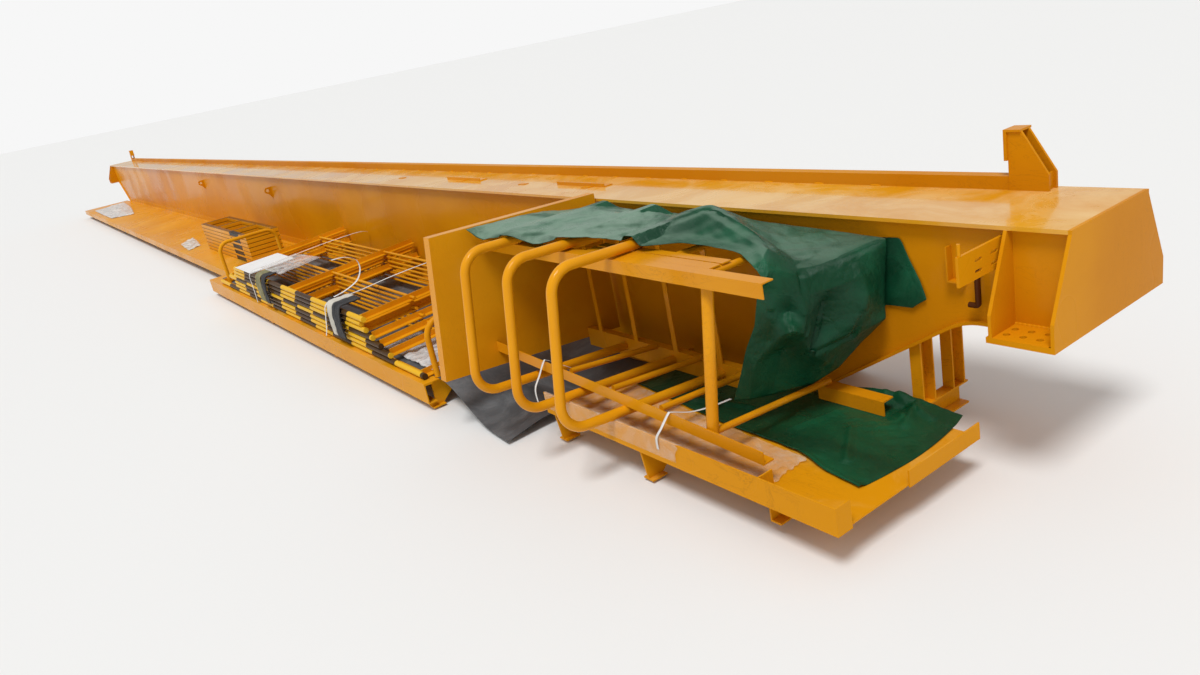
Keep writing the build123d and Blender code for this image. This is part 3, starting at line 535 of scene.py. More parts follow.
@dataclass(frozen=True)
class Tarpaulin(Finish):
    """Coated green tarpaulin: woven, creased, and paler where it lies level, with dust and with a painted
    sheen of the sky there.

    The share of dust and painted sheen falls from fade_start to fade_end along the girder, to fade_left of
    what it was.
    """

    light: Colour = (0.009, 0.100, 0.045)
    dust_and_sheen_colour: Colour = (0.215, 0.330, 0.245)
    dust_share: float = 0.8
    across: float = 300.0
    along: float = 900.0
    crease: float = 0.020
    thread: float = 0.0003
    fade_start: float = 8.60
    fade_end: float = 9.05
    fade_left: float = 0.45
    specular: float = 0.22

    def material(self) -> Material:
        """Build the material."""
        material, tree, shader = self.begin()
        place = tree.place()
        clouds = tree.noise(place, 2.4, detail=5.0, rough=0.6, warp=0.5)
        creases = Effects.use(tree, "crumple", Scale=6.0, Edge=1.0)
        weave = Effects.use(tree, "weave", Across=self.across, Along=self.along)
        # dust and painted sheen: facets that lie nearly level are painted paler, steeper ones keep the darker
        # green
        dust = Effects.use(tree, "dust", Scale=2.6, Cover=0.70, Steep=0.80, Level=0.995)
        faded = self.dust_share * self.fade_left
        share = tree.spread(tree.split(place)[0], self.fade_start, self.fade_end, self.dust_share, faded)
        colour = tree.mix(tree.spread(clouds, 0.35, 0.7), self.colour, self.light)
        colour = tree.mix(tree.maths("MULTIPLY", dust.outputs["Mask"], share), colour, self.dust_and_sheen_colour)
        tree.feed(shader.inputs["Base Color"], colour)
        rough = tree.spread(tree.noise(place, 9.0, detail=4.0), 0.3, 0.7, 0.26, 0.42)
        tree.feed(shader.inputs["Roughness"], rough)
        folded = tree.bump(creases.outputs["Height"], self.crease, strength=0.8)
        woven = tree.bump(weave.outputs["Height"], self.thread, strength=0.5, under=folded)
        tree.feed(shader.inputs["Normal"], woven)
        shader.inputs["Specular IOR Level"].default_value = self.specular
        return material


@dataclass(frozen=True)
class Rubber(Finish):
    """Grey rubber mat with a fine moulded grain, scuffed pale."""

    pale: Colour = (0.30, 0.31, 0.33)
    pit: Colour = (0.03, 0.03, 0.035)
    pit_share: float = 0.4
    depth: float = 0.0006

    def material(self) -> Material:
        """Build the material."""
        material, tree, shader = self.begin()
        place = tree.place()
        grain = tree.noise(place, 320.0, detail=3.0, rough=0.7)
        clouds = tree.noise(place, 3.5, detail=6.0, rough=0.7, warp=0.8)
        colour = tree.mix(tree.spread(clouds, 0.42, 0.75), self.colour, self.pale)
        pits = tree.maths("MULTIPLY", tree.spread(grain, 0.5, 0.75), self.pit_share)
        tree.feed(shader.inputs["Base Color"], tree.mix(pits, colour, self.pit))
        tree.feed(shader.inputs["Roughness"], tree.spread(clouds, 0.3, 0.7, 0.5, 0.75))
        tree.feed(shader.inputs["Normal"], tree.bump(grain, self.depth, strength=0.8))
        return material


@dataclass(frozen=True)
class ClearFilm(Finish):
    """Thin packing film, milky where it is crumpled."""

    cover: float = 0.35
    milk: Colour = (0.92, 0.88, 0.82)
    crease: float = 0.010
    roughness: float = 0.14
    coat: float = 0.3

    def material(self) -> Material:
        """Build the material."""
        material, tree, shader = self.begin()
        creases = Effects.use(tree, "crumple", Scale=9.0, Edge=0.5)
        clouds = tree.noise(tree.place(), 6.0, detail=6.0, rough=0.7, warp=1.0)
        thin, thick = self.cover * 0.5, min(1.0, self.cover * 1.7)
        tree.feed(shader.inputs["Base Color"], tree.mix(clouds, self.colour, self.milk))
        tree.feed(shader.inputs["Alpha"], tree.spread(clouds, 0.35, 0.72, thin, thick))
        tree.feed(shader.inputs["Normal"], tree.bump(creases.outputs["Height"], self.crease))
        shader.inputs["Roughness"].default_value = self.roughness
        shader.inputs["Coat Weight"].default_value = self.coat
        return material


@dataclass(frozen=True)
class Plain(Finish):
    """A small plain thing with faint clouds and grain, such as a strap, a pad or a board."""

    second: Colour = (0.5, 0.5, 0.5)
    roughness: float = 0.5
    grain: float = 180.0
    depth: float = 0.0004
    scale: float = 7.0

    def material(self) -> Material:
        """Build the material."""
        material, tree, shader = self.begin()
        place = tree.place()
        clouds = tree.spread(tree.noise(place, self.scale, detail=5.0, rough=0.65, warp=0.5), 0.35, 0.7)
        fine = tree.noise(place, self.grain, detail=3.0, rough=0.6)
        rough = tree.spread(fine, 0.2, 0.8, self.roughness - 0.1, self.roughness + 0.1)
        tree.feed(shader.inputs["Base Color"], tree.mix(clouds, self.colour, self.second))
        tree.feed(shader.inputs["Roughness"], rough)
        tree.feed(shader.inputs["Normal"], tree.bump(fine, self.depth, strength=0.8))
        return material


YELLOW = (0.68, 0.270, 0.0035)
PAINT_GIRDER = GlossPaint("girder_enamel", YELLOW)
PAINT_FLANGE = GlossPaint(
    "flange_enamel", (0.76, 0.37, 0.020), deep=(0.73, 0.32, 0.008), dust_colour=(0.86, 0.58, 0.24),
    roughness=0.12, dull=0.16, dust=0.60, dust_share=0.6, coat=0.5, specular=0.35,
)
PAINT_WALKWAY = GlossPaint(
    "walkway_enamel", (0.72, 0.31, 0.006), deep=(0.67, 0.27, 0.004), dust=0.55, wear=0.4
)
PAINT_CAGE = GlossPaint(
    "cage_enamel", (0.74, 0.31, 0.006), deep=(0.66, 0.25, 0.003), waves=0.002, dust=0.25, coat=0.08,
    specular=0.12,
)
PAINT_RAIL = GlossPaint("rail_enamel", (0.62, 0.25, 0.010), roughness=0.32, dust=0.5)
RAILING_YELLOW = (0.76, 0.33, 0.008)
STRAP_WHITE = Plain("strap_white", (0.80, 0.80, 0.78), second=(0.64, 0.62, 0.58), roughness=0.35)
PAD_OLIVE = Plain(
    "pad_olive", (0.17, 0.16, 0.075), second=(0.30, 0.27, 0.14), roughness=0.85, grain=420.0, depth=0.0016
)
PAD_PALE = Plain(
    "pad_pale", (0.50, 0.47, 0.40), second=(0.66, 0.62, 0.54), roughness=0.8, grain=420.0, depth=0.0012
)
PAD_BLACK = Plain(
    "pad_black", (0.012, 0.012, 0.014), second=(0.035, 0.034, 0.036), roughness=0.7, grain=420.0, depth=0.0016
)


class Bench:
    """Calls for modelling with operators, as by hand."""

    @staticmethod
    def clear() -> None:
        """Leave nothing selected."""
        for item in bpy.context.view_layer.objects:
            item.select_set(False)

    @classmethod
    def take(cls, *pieces: Piece) -> Piece:
        """Select only these pieces, the first one active.

        Args:
            pieces: the pieces to work on.

        Returns:
            The first piece.
        """
        cls.clear()
        for piece in pieces:
            piece.select_set(True)
        bpy.context.view_layer.objects.active = pieces[0]
        return pieces[0]

    @classmethod
    def settle(cls, piece: Piece) -> Piece:
        """Put the piece's place, turn and size into its mesh."""
        cls.take(piece)
        bpy.ops.object.transform_apply(location=True, rotation=True, scale=True)
        return piece

    @classmethod
    def modify(cls, piece: Piece, kind: str, **settings: object) -> None:
        """Add a modifier and apply it.

        Args:
            piece: the piece.
            kind: Blender's name of the modifier type.
            settings: its properties by name.
        """
        cls.take(piece)
        modifier = piece.modifiers.new(kind.title(), kind)
        for name, value in settings.items():
            setattr(modifier, name, value)
        bpy.ops.object.modifier_apply(modifier=modifier.name)

    @classmethod
    def join(cls, name: str, pieces: Sequence[Piece]) -> Piece:
        """Join pieces into one mesh under a name."""
        first = cls.take(*pieces)
        if len(pieces) > 1:
            bpy.ops.object.join()
        first.name = name
        return first

    @classmethod
    def grid(cls, name: str, columns: int, rows: int, place: Place) -> Piece:
        """A sheet whose points are laid by a function of the two shares across it.

        Args:
            name: the piece's name.
            columns: steps along the first share.
            rows: steps along the second share.
            place: where the point at these two shares lies.

        Returns:
            The sheet, with a UV map of the two shares.
        """
        cls.clear()
        bpy.ops.mesh.primitive_grid_add(x_subdivisions=columns, y_subdivisions=rows, size=1.0, calc_uvs=True)
        piece = bpy.context.object
        piece.name = name
        for vertex in piece.data.vertices:
            vertex.co = place(vertex.co.x + 0.5, vertex.co.y + 0.5)
        piece.data.update()
        return piece

    @classmethod
    def smooth(cls, piece: Piece, degrees: float) -> None:
        """Shade smooth, apart from edges sharper than this angle."""
        cls.take(piece)
        bpy.ops.object.shade_smooth_by_angle(angle=math.radians(degrees))

    @classmethod
    def thicken(cls, piece: Piece, thickness: float) -> None:
        """Give a sheet its thickness, even about its middle."""
        cls.modify(piece, "SOLIDIFY", thickness=thickness, offset=0.0)

    @staticmethod
    def area(piece: Piece) -> float:
        """Area of all the faces of a piece."""
        return sum(face.area for face in piece.data.polygons)


def dress(piece: Piece, finish: Finish, slot: Slot) -> Piece:
    """Finish a new piece and make it ride on the girder.

    Args:
        piece: the piece, settled at the origin.
        finish: its finish.
        slot: the record's slot; not used.

    Returns:
        The piece.
    """
    piece.data.materials.clear()
    piece.data.materials.append(finish.material())
    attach(piece, BODY)
    log.info("%s: %d faces, %s", piece.name, len(piece.data.polygons), finish.name)
    return piece


def clamped(value: float) -> float:
    """The value, kept between 0 and 1."""
    return min(max(value, 0.0), 1.0)


def last_tenth(share: float) -> float:
    """How far a share is into its last tenth, from 0 to 1."""
    return max(0.0, share - 0.9) / 0.1


def wander(x: float, y: float, z: float) -> float:
    """Smooth noise over three numbers, or over two with the third as a seed, from about -1 to 1."""
    return noise.noise(Vector((x, y, z)))


def span(count: int, share: float) -> tuple[int, float]:
    """Find the run of a line that holds this share of it.

    Args:
        count: number of the line's points, evenly spaced in share.
        share: from 0 to 1 along the whole line.

    Returns:
        The index of the run's first point, and the share along the run.
    """
    position = clamped(share) * (count - 1)
    index = min(int(position), count - 2)
    return index, position - index


def beside(items: Sequence, index: int) -> list:
    """The item before this one, this one and the two after it, with the end ones repeated."""
    return [items[min(max(index + step, 0), len(items) - 1)] for step in (-1, 0, 1, 2)]


def along(points: Sequence[Sequence[float]], share: float) -> Vector:
    """The point at this share of a line through the points, rounded at each of them.

    Args:
        points: points of the line, evenly spaced in share.
        share: from 0 to 1.

    Returns:
        The point.
    """
    index, t = span(len(points), share)
    before, first, second, after = [Vector(point) for point in beside(points, index)]
    return 0.5 * (
        2.0 * first
        + (second - before) * t
        + (2.0 * before - 5.0 * first + 4.0 * second - after) * t * t
        + (3.0 * first - before - 3.0 * second + after) * t * t * t
    )


def straight(points: Sequence[Vector], share: float) -> Vector:
    """The point at this share of straight runs through evenly spaced points."""
    index, t = span(len(points), share)
    return points[index].lerp(points[index + 1], t)


def on_net(ribs: Sequence[Sequence[Vector]], along_share: float, across: float, facets: float) -> Vector:
    """A point of a sheet stretched over ribs.

    Args:
        ribs: lines of points across the sheet, in order along it.
        along_share: share along the sheet.
        across: share across it.
        facets: 0 for a smooth sheet, 1 for flat facets between the points.

    Returns:
        The point.
    """
    index, part = span(len(ribs), along_share)
    near = beside(ribs, index)
    smooth = along([along(rib, across) for rib in near], (1.0 + part) / 3.0)
    flat = straight(near[1], across).lerp(straight(near[2], across), part)
    return smooth.lerp(flat, facets)


def creased(point: Vector, creases: Sequence[Crease]) -> float:
    """Height of straight sharp creases of several sizes, from about 0 to 1.

    Args:
        point: the place on the sheet.
        creases: turn, length and weight of each set of creases.

    Returns:
        The height.
    """
    tilt, drift, drift_scale, patch_scale, patch_middle, patch_gain = 0.6, 1.2, 3.1, 2.6, 0.45, 1.8
    total = 0.0
    for turn, length, weight in creases:
        across = point.x * math.cos(turn) + point.y * math.sin(turn) + tilt * point.z
        phase = across / length + drift * noise.noise(point * drift_scale + Vector((turn, 0.0, 0.0)))
        wave = 2.0 * abs(phase - math.floor(phase) - 0.5)
        patch = noise.noise(point * patch_scale + Vector((0.0, turn * 5.0, 3.0)))
        total += weight * wave * clamped(patch_middle + patch_gain * patch)
    return total


def bell(distance: float, width: float) -> float:
    """A smooth hump: 1 at no distance, nearly 0 past twice the width."""
    return math.exp(-((distance / width) ** 2))


@dataclass(frozen=True)
class Patch:
    """A rectangle seen from above, with the height of its top where that counts."""

    first: float
    last: float
    outer: float
    inner: float
    top: float = 0.0

    def away(self, x: float, y: float) -> float:
        """Distance of a place from the rectangle, 0 on it."""
        return max(self.first - x, x - self.last, self.outer - y, y - self.inner, 0.0)


@dataclass(frozen=True)
class Fold:
    """A straight sharp fold between two points."""

    start: Point
    end: Point
    width: float
    height: float

    def rise(self, point: Vector) -> float:
        """Height of the fold at a point of the sheet, 0 beyond its width."""
        start = Vector(self.start)
        run = Vector(self.end) - start
        share = clamped((point - start).dot(run) / run.length_squared)
        away = (point - start - run * share).length
        return self.height * max(0.0, 1.0 - away / self.width)


@dataclass
class CageTarp:
    """The tarpaulin thrown over the cage: flat on the hoops, bunched to a peak, and hanging at the near end.

    Each rib crosses the sheet: tail beside the web, pleat, edge of the front, three points, ridge, outer part
    and hem. Facets and flat_front say how flat the sheet is between its points, on the top and on the hanging
    front. Calm_front and calm_flank say how much of the crumpling those parts keep. Outer_bar is that bar's
    outer and inner side, plate is the start, end and inner side of the plate beside it, and inner_bar is that
    bar's end, outer side and top.
    """

    columns: int = 310
    rows: int = 124
    gap: float = 0.006
    facets: float = 0.6
    flat_front: float = 0.85
    calm_front: float = 0.22
    calm_flank: float = 0.45
    flank_start: float = 8.72
    flank_end: float = 9.42
    flank_inner: float = -0.54
    front_start: float = 9.43
    carried_end: float = 9.44
    carried_low: float = 0.80
    flange_edge: float = -0.246
    web_margin: float = 0.05
    slope: float = 1.1
    turn_ribs: float = 0.5
    crumple: float = 0.017
    crease_middle: float = 0.4
    sharp_angle: float = 32.0
    cut: float = 2.6
    hoops: tuple[float, ...] = (8.133, 8.502, 8.832)
    hoop_half: float = 0.022
    hoop_outer: float = -1.2
    outer_bar: tuple[float, float] = (-0.921, -0.867)
    plate: Triple = (8.590, 9.335, -0.761)
    inner_bar: Triple = (9.127, -0.455, 0.868)
    stations: tuple[float, ...] = (-0.218, -0.222, -0.290, -0.400, -0.520, -0.640, -0.760, -0.880)
    creases: tuple[Crease, ...] = (
        (0.35, 0.190, 0.5), (1.25, 0.120, 0.4), (2.30, 0.083, 0.3), (0.95, 0.047, 0.16)
    )

    def __post_init__(self) -> None:
        """Read the places that it hangs on from the frame, and set out its ribs and folds."""
        self.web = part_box("web_walkway_side")[0].y - self.gap
        self.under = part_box("top_flange")[0].z - self.gap
        hoops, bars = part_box("cage_hoops"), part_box("cage_top_bars")
        half, inner, top = self.hoop_half, hoops[1].y, hoops[1].z
        self.carriers = [Patch(x - half, x + half, self.hoop_outer, inner, top) for x in self.hoops]
        plate_start, plate_end, plate_inner = self.plate
        bar_end, bar_outer, bar_top = self.inner_bar
        self.carriers += [
            Patch(bars[0].x, bars[1].x, *self.outer_bar, bars[1].z),
            Patch(plate_start, plate_end, self.outer_bar[1], plate_inner, bars[1].z),
            Patch(bars[0].x, bar_end, bar_outer, bars[1].y, bar_top),
        ]
        lying = self.level_ribs() + self.bunched_ribs()
        self.first_hanging = len(lying)
        self.ribs = [[Vector(point) for point in rib] for rib in lying + self.hanging_ribs()]
        self.folds = self.sharp_folds()

    def level_ribs(self) -> list[list[Point]]:
        """Ribs of the part that lies on the hoops, each from its place, heights at the stations and hem."""
        rows = (
            (7.836, (0.835, 0.852, 0.868, 0.888, 0.915, 0.935, 0.950, 0.957), (7.838, -1.013, 0.962)),
            (7.970, (0.832, 0.850, 0.862, 0.880, 0.905, 0.925, 0.936, 0.938), (7.975, -1.005, 0.918)),
            (8.133, (0.830, 0.848, 0.868, 0.915, 0.947, 0.949, 0.950, 0.951), (8.160, -0.985, 0.948)),
            (8.320, (0.830, 0.848, 0.866, 0.900, 0.930, 0.936, 0.938, 0.937), (8.350, -0.968, 0.920)),
            (8.500, (0.828, 0.846, 0.868, 0.915, 0.947, 0.950, 0.951, 0.952), (8.545, -0.905, 0.945)),
        )
        return [[(x, y, z) for y, z in zip(self.stations, levels)] + [hem] for x, levels, hem in rows]

    @staticmethod
    def bunched_ribs() -> list[list[Point]]:
        """Ribs of the part that is bunched to a peak."""
        return [
            [(8.640, -0.218, 0.826), (8.640, -0.222, 0.844), (8.650, -0.290, 0.862), (8.670, -0.370, 0.885),
             (8.700, -0.450, 0.915), (8.726, -0.530, 0.930), (8.735, -0.630, 0.922), (8.745, -0.730, 0.922),
             (8.760, -0.830, 0.928)],
            [(8.780, -0.218, 0.825), (8.780, -0.222, 0.845), (8.790, -0.280, 0.868), (8.810, -0.350, 0.905),
             (8.830, -0.430, 0.945), (8.860, -0.500, 0.966), (8.868, -0.580, 0.962), (8.885, -0.690, 0.914),
             (8.900, -0.810, 0.908)],
            [(8.900, -0.218, 0.824), (8.900, -0.222, 0.844), (8.910, -0.270, 0.866), (8.920, -0.330, 0.898),
             (8.940, -0.410, 0.945), (8.955, -0.460, 0.972), (8.968, -0.505, 0.988), (8.995, -0.630, 0.908),
             (9.020, -0.730, 0.907)],
            [(9.050, -0.218, 0.820), (9.050, -0.222, 0.840), (9.055, -0.270, 0.852), (9.065, -0.330, 0.868),
             (9.080, -0.410, 0.898), (9.100, -0.475, 0.935), (9.120, -0.535, 0.966), (9.150, -0.635, 0.904),
             (9.190, -0.715, 0.908)],
            [(9.220, -0.218, 0.815), (9.220, -0.222, 0.835), (9.230, -0.260, 0.838), (9.235, -0.330, 0.840),
             (9.240, -0.410, 0.846), (9.250, -0.490, 0.870), (9.270, -0.570, 0.932), (9.296, -0.640, 0.892),
             (9.335, -0.712, 0.888)],
            [(9.420, -0.218, 0.805), (9.420, -0.222, 0.826), (9.430, -0.250, 0.828), (9.400, -0.340, 0.822),
             (9.380, -0.430, 0.820), (9.375, -0.520, 0.834), (9.385, -0.610, 0.892), (9.420, -0.690, 0.882),
             (9.440, -0.745, 0.848)],
        ]

    @staticmethod
    def hanging_ribs() -> list[list[Point]]:
        """Ribs of the part that hangs at the near end."""
        return [
            [(9.624, -0.218, 0.822), (9.560, -0.217, 0.812), (9.579, -0.234, 0.820), (9.516, -0.370, 0.801),
             (9.482, -0.470, 0.788), (9.474, -0.580, 0.785), (9.462, -0.660, 0.822), (9.466, -0.715, 0.838),
             (9.470, -0.748, 0.808)],
            [(9.665, -0.219, 0.740), (9.545, -0.217, 0.740), (9.574, -0.240, 0.739), (9.575, -0.368, 0.724),
             (9.526, -0.478, 0.709), (9.484, -0.590, 0.714), (9.461, -0.630, 0.724), (9.430, -0.695, 0.748),
             (9.394, -0.712, 0.760)],
            [(9.700, -0.220, 0.670), (9.535, -0.217, 0.655), (9.571, -0.250, 0.659), (9.589, -0.372, 0.649),
             (9.492, -0.486, 0.652), (9.496, -0.600, 0.647), (9.436, -0.615, 0.654), (9.423, -0.690, 0.668),
             (9.340, -0.700, 0.613)],
            [(9.723, -0.222, 0.604), (9.530, -0.217, 0.585), (9.569, -0.260, 0.584), (9.577, -0.382, 0.582),
             (9.463, -0.490, 0.550), (9.481, -0.585, 0.563), (9.495, -0.668, 0.606), (9.375, -0.668, 0.550),
             (9.288, -0.710, 0.515)],
            [(9.690, -0.222, 0.583), (9.535, -0.217, 0.565), (9.575, -0.268, 0.525), (9.527, -0.400, 0.493),
             (9.457, -0.550, 0.462), (9.459, -0.585, 0.524), (9.359, -0.600, 0.485), (9.304, -0.690, 0.443),
             (9.244, -0.716, 0.403)],
            [(9.661, -0.222, 0.562), (9.540, -0.217, 0.555), (9.538, -0.252, 0.492), (9.501, -0.325, 0.437),
             (9.449, -0.405, 0.355), (9.376, -0.470, 0.299), (9.279, -0.600, 0.281), (9.242, -0.690, 0.288),
             (9.189, -0.721, 0.284)],
        ]

    @staticmethod
    def sharp_folds() -> list[Fold]:
        """The sheet's sharp folds: on the front first, then on the top."""
        return [
            Fold((9.474, -0.580, 0.785), (9.481, -0.585, 0.563), 0.014, 0.012),
            Fold((9.500, -0.500, 0.655), (9.457, -0.550, 0.462), 0.016, 0.014),
            Fold((9.457, -0.550, 0.462), (9.527, -0.400, 0.493), 0.020, 0.010),
            Fold((9.527, -0.400, 0.493), (9.577, -0.382, 0.582), 0.020, 0.008),
            Fold((9.423, -0.690, 0.668), (9.495, -0.668, 0.606), 0.020, 0.010),
            Fold((9.579, -0.234, 0.820), (9.478, -0.560, 0.788), 0.024, 0.012),
            Fold((8.968, -0.505, 0.988), (9.385, -0.610, 0.892), 0.030, 0.012),
            Fold((8.735, -0.760, 0.925), (8.968, -0.505, 0.988), 0.030, 0.010),
            Fold((8.250, -0.930, 0.940), (8.700, -0.640, 0.935), 0.030, 0.009),
        ]

    def place(self, along_share: float, inward: float) -> Vector:
        """Where the point at these two shares lies, before the fine creases."""
        hangs = clamped((along_share * (len(self.ribs) - 1) - self.first_hanging) / self.turn_ribs)
        return on_net(self.ribs, along_share, inward, self.facets + (self.flat_front - self.facets) * hangs)

    def crease(self, piece: Piece) -> None:
        """Crumple the sheet along its normals, less on the smooth hanging front."""
        normals = [vertex.normal.copy() for vertex in piece.data.vertices]
        for vertex, normal in zip(piece.data.vertices, normals):
            point = vertex.co
            calm = self.calm_front if point.x > self.front_start or point.z < self.carried_low else 1.0
            if self.flank_start < point.x < self.flank_end and point.y < self.flank_inner:
                calm = min(calm, self.calm_flank)
            near_web = clamped((self.web - point.y) / self.web_margin)
            rise = self.crumple * calm * (creased(point, self.creases) - self.crease_middle)
            rise += sum(fold.rise(point) for fold in self.folds)
            vertex.co = point + normal * (near_web * rise)

    def clear(self, point: Vector) -> Vector:
        """Lift a point off the hoops and the bars, and keep it off the web and the flange."""
        moved = point.copy()
        if point.z > self.carried_low and point.x < self.carried_end:
            for carrier in self.carriers:
                moved.z = max(moved.z, carrier.top + self.gap - self.slope * carrier.away(point.x, point.y))
        moved.y = min(moved.y, self.web - CLOTH_THICKNESS)
        if moved.y > self.flange_edge:
            moved.z = min(moved.z, self.under - CLOTH_THICKNESS)
        return moved

    def build(self) -> Piece:
        """Lay the sheet on its ribs, crease it and dress it."""
        piece = Bench.grid("cage_tarp_sheet", self.columns, self.rows, self.place)
        self.crease(piece)
        Bench.modify(piece, "SMOOTH", factor=0.25, iterations=1)
        for vertex in piece.data.vertices:
            vertex.co = self.clear(vertex.co)
        area = Bench.area(piece)
        Bench.smooth(piece, self.sharp_angle)
        Bench.thicken(piece, CLOTH_THICKNESS)
        dress(piece, Tarpaulin("cage_tarpaulin", (0.003, 0.044, 0.018)), Slot.TARP)
        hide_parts("tarp_cage")
        return piece


@dataclass
class TrayTarp:
    """The tarpaulin laid on the inner half of the short tray, bunched beside the hanger posts.

    The heap and the turned corner are each a place on the tray and a width. The hem is its share outward, its
    width as a share, and its height.
    """

    columns: int = 220
    rows: int = 84
    lift: float = 0.0018
    wrinkle: float = 0.006
    wrinkles: tuple[Crease, ...] = ((0.9, 0.21, 0.5), (1.9, 0.13, 0.3), (0.2, 0.09, 0.2))
    bunch: float = 0.030
    bunches: tuple[Crease, ...] = ((0.5, 0.058, 0.6), (2.2, 0.041, 0.5))
    heap: Triple = (9.66, -0.30, 0.15)
    heap_height: float = 0.014
    corner: Triple = (9.60, -0.70, 0.07)
    corner_height: float = 0.012
    hem: Triple = (0.985, 0.02, 0.010)
    post_place: float = 9.47
    post_width: float = 0.30
    post_reach: float = 0.060
    post_height: float = 0.040
    margin: float = 0.05
    inner_edge: float = -0.228
    bulge: float = 0.030
    sway: float = 0.004
    fold_width: float = 0.024
    fold_height: float = 0.013
    cut: float = 1.62

    def __post_init__(self) -> None:
        """Read the tray from the frame, and set out the sheet's edges and folds."""
        self.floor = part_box("near_tray_floor")[1].z
        self.outer = [
            (8.317, -0.646, 0.0), (8.629, -0.673, 0.0), (9.032, -0.720, 0.0), (9.203, -0.730, 0.0),
            (9.492, -0.740, 0.0), (9.667, -0.787, 0.0), (9.843, -0.815, 0.0),
        ]
        self.inner = [
            (8.317, -0.318, 0.0), (8.629, -0.318, 0.0), (9.032, -0.300, 0.0), (9.203, -0.262, 0.0),
            (9.440, -0.236, 0.0), (9.667, -0.230, 0.0), (9.842, -0.226, 0.0),
        ]
        ends = (
            (9.376, -0.625, 9.438, -0.373), (9.520, -0.250, 9.670, -0.340), (9.580, -0.240, 9.760, -0.300),
            (9.716, -0.400, 9.664, -0.260), (8.800, -0.640, 9.100, -0.560), (9.700, -0.700, 9.560, -0.500),
        )
        size = (self.fold_width, self.fold_height)
        self.folds = [Fold((a, b, 0.0), (c, d, 0.0), *size) for a, b, c, d in ends]
        self.weights = (Patch(8.30, 9.06, -0.465, -0.405), Patch(9.27, 9.615, -0.372, -0.285))

    def free(self, x: float, y: float) -> float:
        """How free the sheet is to rise here, from 0 under the channel and the offcut to 1."""
        return min(1.0, *(weight.away(x, y) / self.margin for weight in self.weights))

    def rise(self, here: Vector, outward: float) -> float:
        """How high the sheet would stand here if nothing lay on it."""
        heap, corner = [
            bell((here - Vector((x, y, 0.0))).length, width) for x, y, width in (self.heap, self.corner)
        ]
        hem_place, hem_width, hem_height = self.hem
        beside_posts = max(0.0, 1.0 - (self.inner_edge - here.y) / self.post_reach)
        return (
            self.wrinkle * creased(here, self.wrinkles)
            + max(fold.rise(here) for fold in self.folds)
            + self.bunch * heap * creased(here, self.bunches)
            + hem_height * bell(outward - hem_place, hem_width)
            + self.corner_height * corner
            + self.heap_height * heap
            + self.post_height * bell(here.x - self.post_place, self.post_width) * beside_posts
        )

    def place(self, along_share: float, outward: float) -> Vector:
        """A point of the sheet at these two shares."""
        point = along(self.inner, along_share).lerp(along(self.outer, along_share), outward)
        point.x += self.bulge * math.sin(math.pi * outward) * last_tenth(along_share)
        point.y += self.sway * wander(point.x * 14.0, outward * 2.0, 5.0) * outward
        rise = self.rise(Vector((point.x, point.y, 0.0)), outward)
        point.z = self.floor + self.lift + rise * self.free(point.x, point.y)
        return point

    def build(self) -> Piece:
        """Lay and dress the sheet."""
        piece = Bench.grid("tray_tarp_sheet", self.columns, self.rows, self.place)
        Bench.modify(piece, "SMOOTH", factor=0.3, iterations=1)
        area = Bench.area(piece)
        Bench.smooth(piece, ROUND_ANGLE)
        Bench.thicken(piece, CLOTH_THICKNESS)
        green, light = (0.001, 0.036, 0.012), (0.003, 0.082, 0.030)
        dress(piece, Tarpaulin("tray_tarpaulin", green, light=light, dust_share=0.05), Slot.TARP)
        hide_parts("tarp_tray")
        return piece


@dataclass
class FloorMat:
    """The grey mat on the wide tray, which droops from its end to the ground beyond."""

    columns: int = 150
    rows: int = 30
    thickness: float = 0.003
    lift: float = 0.0018
    inner: float = -0.305
    wave: float = 0.018
    overhang: float = 0.02
    steepness: float = 1.25
    ground: float = 0.024
    lowest: float = 0.0225
    spread: float = 0.05
    flat: tuple[float, float] = (0.86, 5.60)

    def __post_init__(self) -> None:
        """Read the mat's room and the tray's end from the frame."""
        self.low, self.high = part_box("rubber_mat")
        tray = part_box("walkway_floor_wide")[1]
        self.edge, self.level = tray.x, tray.z + self.lift

    def place(self, along_share: float, outward: float) -> Vector:
        """A point of the mat, level on the tray and sagging past its end."""
        x = self.low.x + (self.high.x - self.low.x) * along_share
        y = self.inner - self.flat[0] * outward
        past = max(0.0, x - self.edge - self.overhang) / (self.high.x - self.edge)
        fall = (1.0 - math.cos(min(1.0, past * self.steepness) * math.pi)) / 2.0
        z = self.level - (self.level - self.ground) * fall
        z += past * self.wave * (1.0 + wander(x * 4.0, y * 3.0, 7.0) + math.sin(y * 11.0 + x * 3.0))
        y -= past * self.spread * outward
        return Vector((min(x, self.high.x), y, max(z, self.lowest)))

    def build(self) -> Piece:
        """Lay and dress the mat."""
        piece = Bench.grid("floor_mat", self.columns, self.rows, self.place)
        Bench.thicken(piece, self.thickness)
        Bench.smooth(piece, ROUND_ANGLE)
        dress(piece, Rubber("mat_rubber_grey", (0.055, 0.058, 0.062), pale=(0.15, 0.155, 0.16)), Slot.MAT)
        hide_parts("rubber_mat")
        return piece


@dataclass
class Film:
    """A crumpled packing film. Each kind of film lays its own points."""

    name: str
    crumple: float = 0.016
    cover: float = 0.3
    tint: Colour = (0.88, 0.80, 0.72)
    ragged: float = 0.03
    columns: int = 110
    rows: int = 40

    def place(self, share: float, across: float) -> Vector:
        """A point of the film at these two shares."""
        raise NotImplementedError

    def run(self) -> float:
        """Length of the film's longer side."""
        raise NotImplementedError

    def build(self, rests_on: str, held: str = "laid") -> Piece:
        """Args:
            rests_on: the node that carries it; not used.
            held: how it lies; not used.

        Returns:
            The film.
        """
        piece = Bench.grid(self.name, self.columns, self.rows, self.place)
        area = Bench.area(piece)
        Bench.smooth(piece, FILM_ANGLE)
        Bench.thicken(piece, FILM_THICKNESS)
        dress(piece, ClearFilm(self.name + "_clear", self.tint, cover=self.cover), Slot.TARP)
        self.run()
        area / self.run()
        return piece


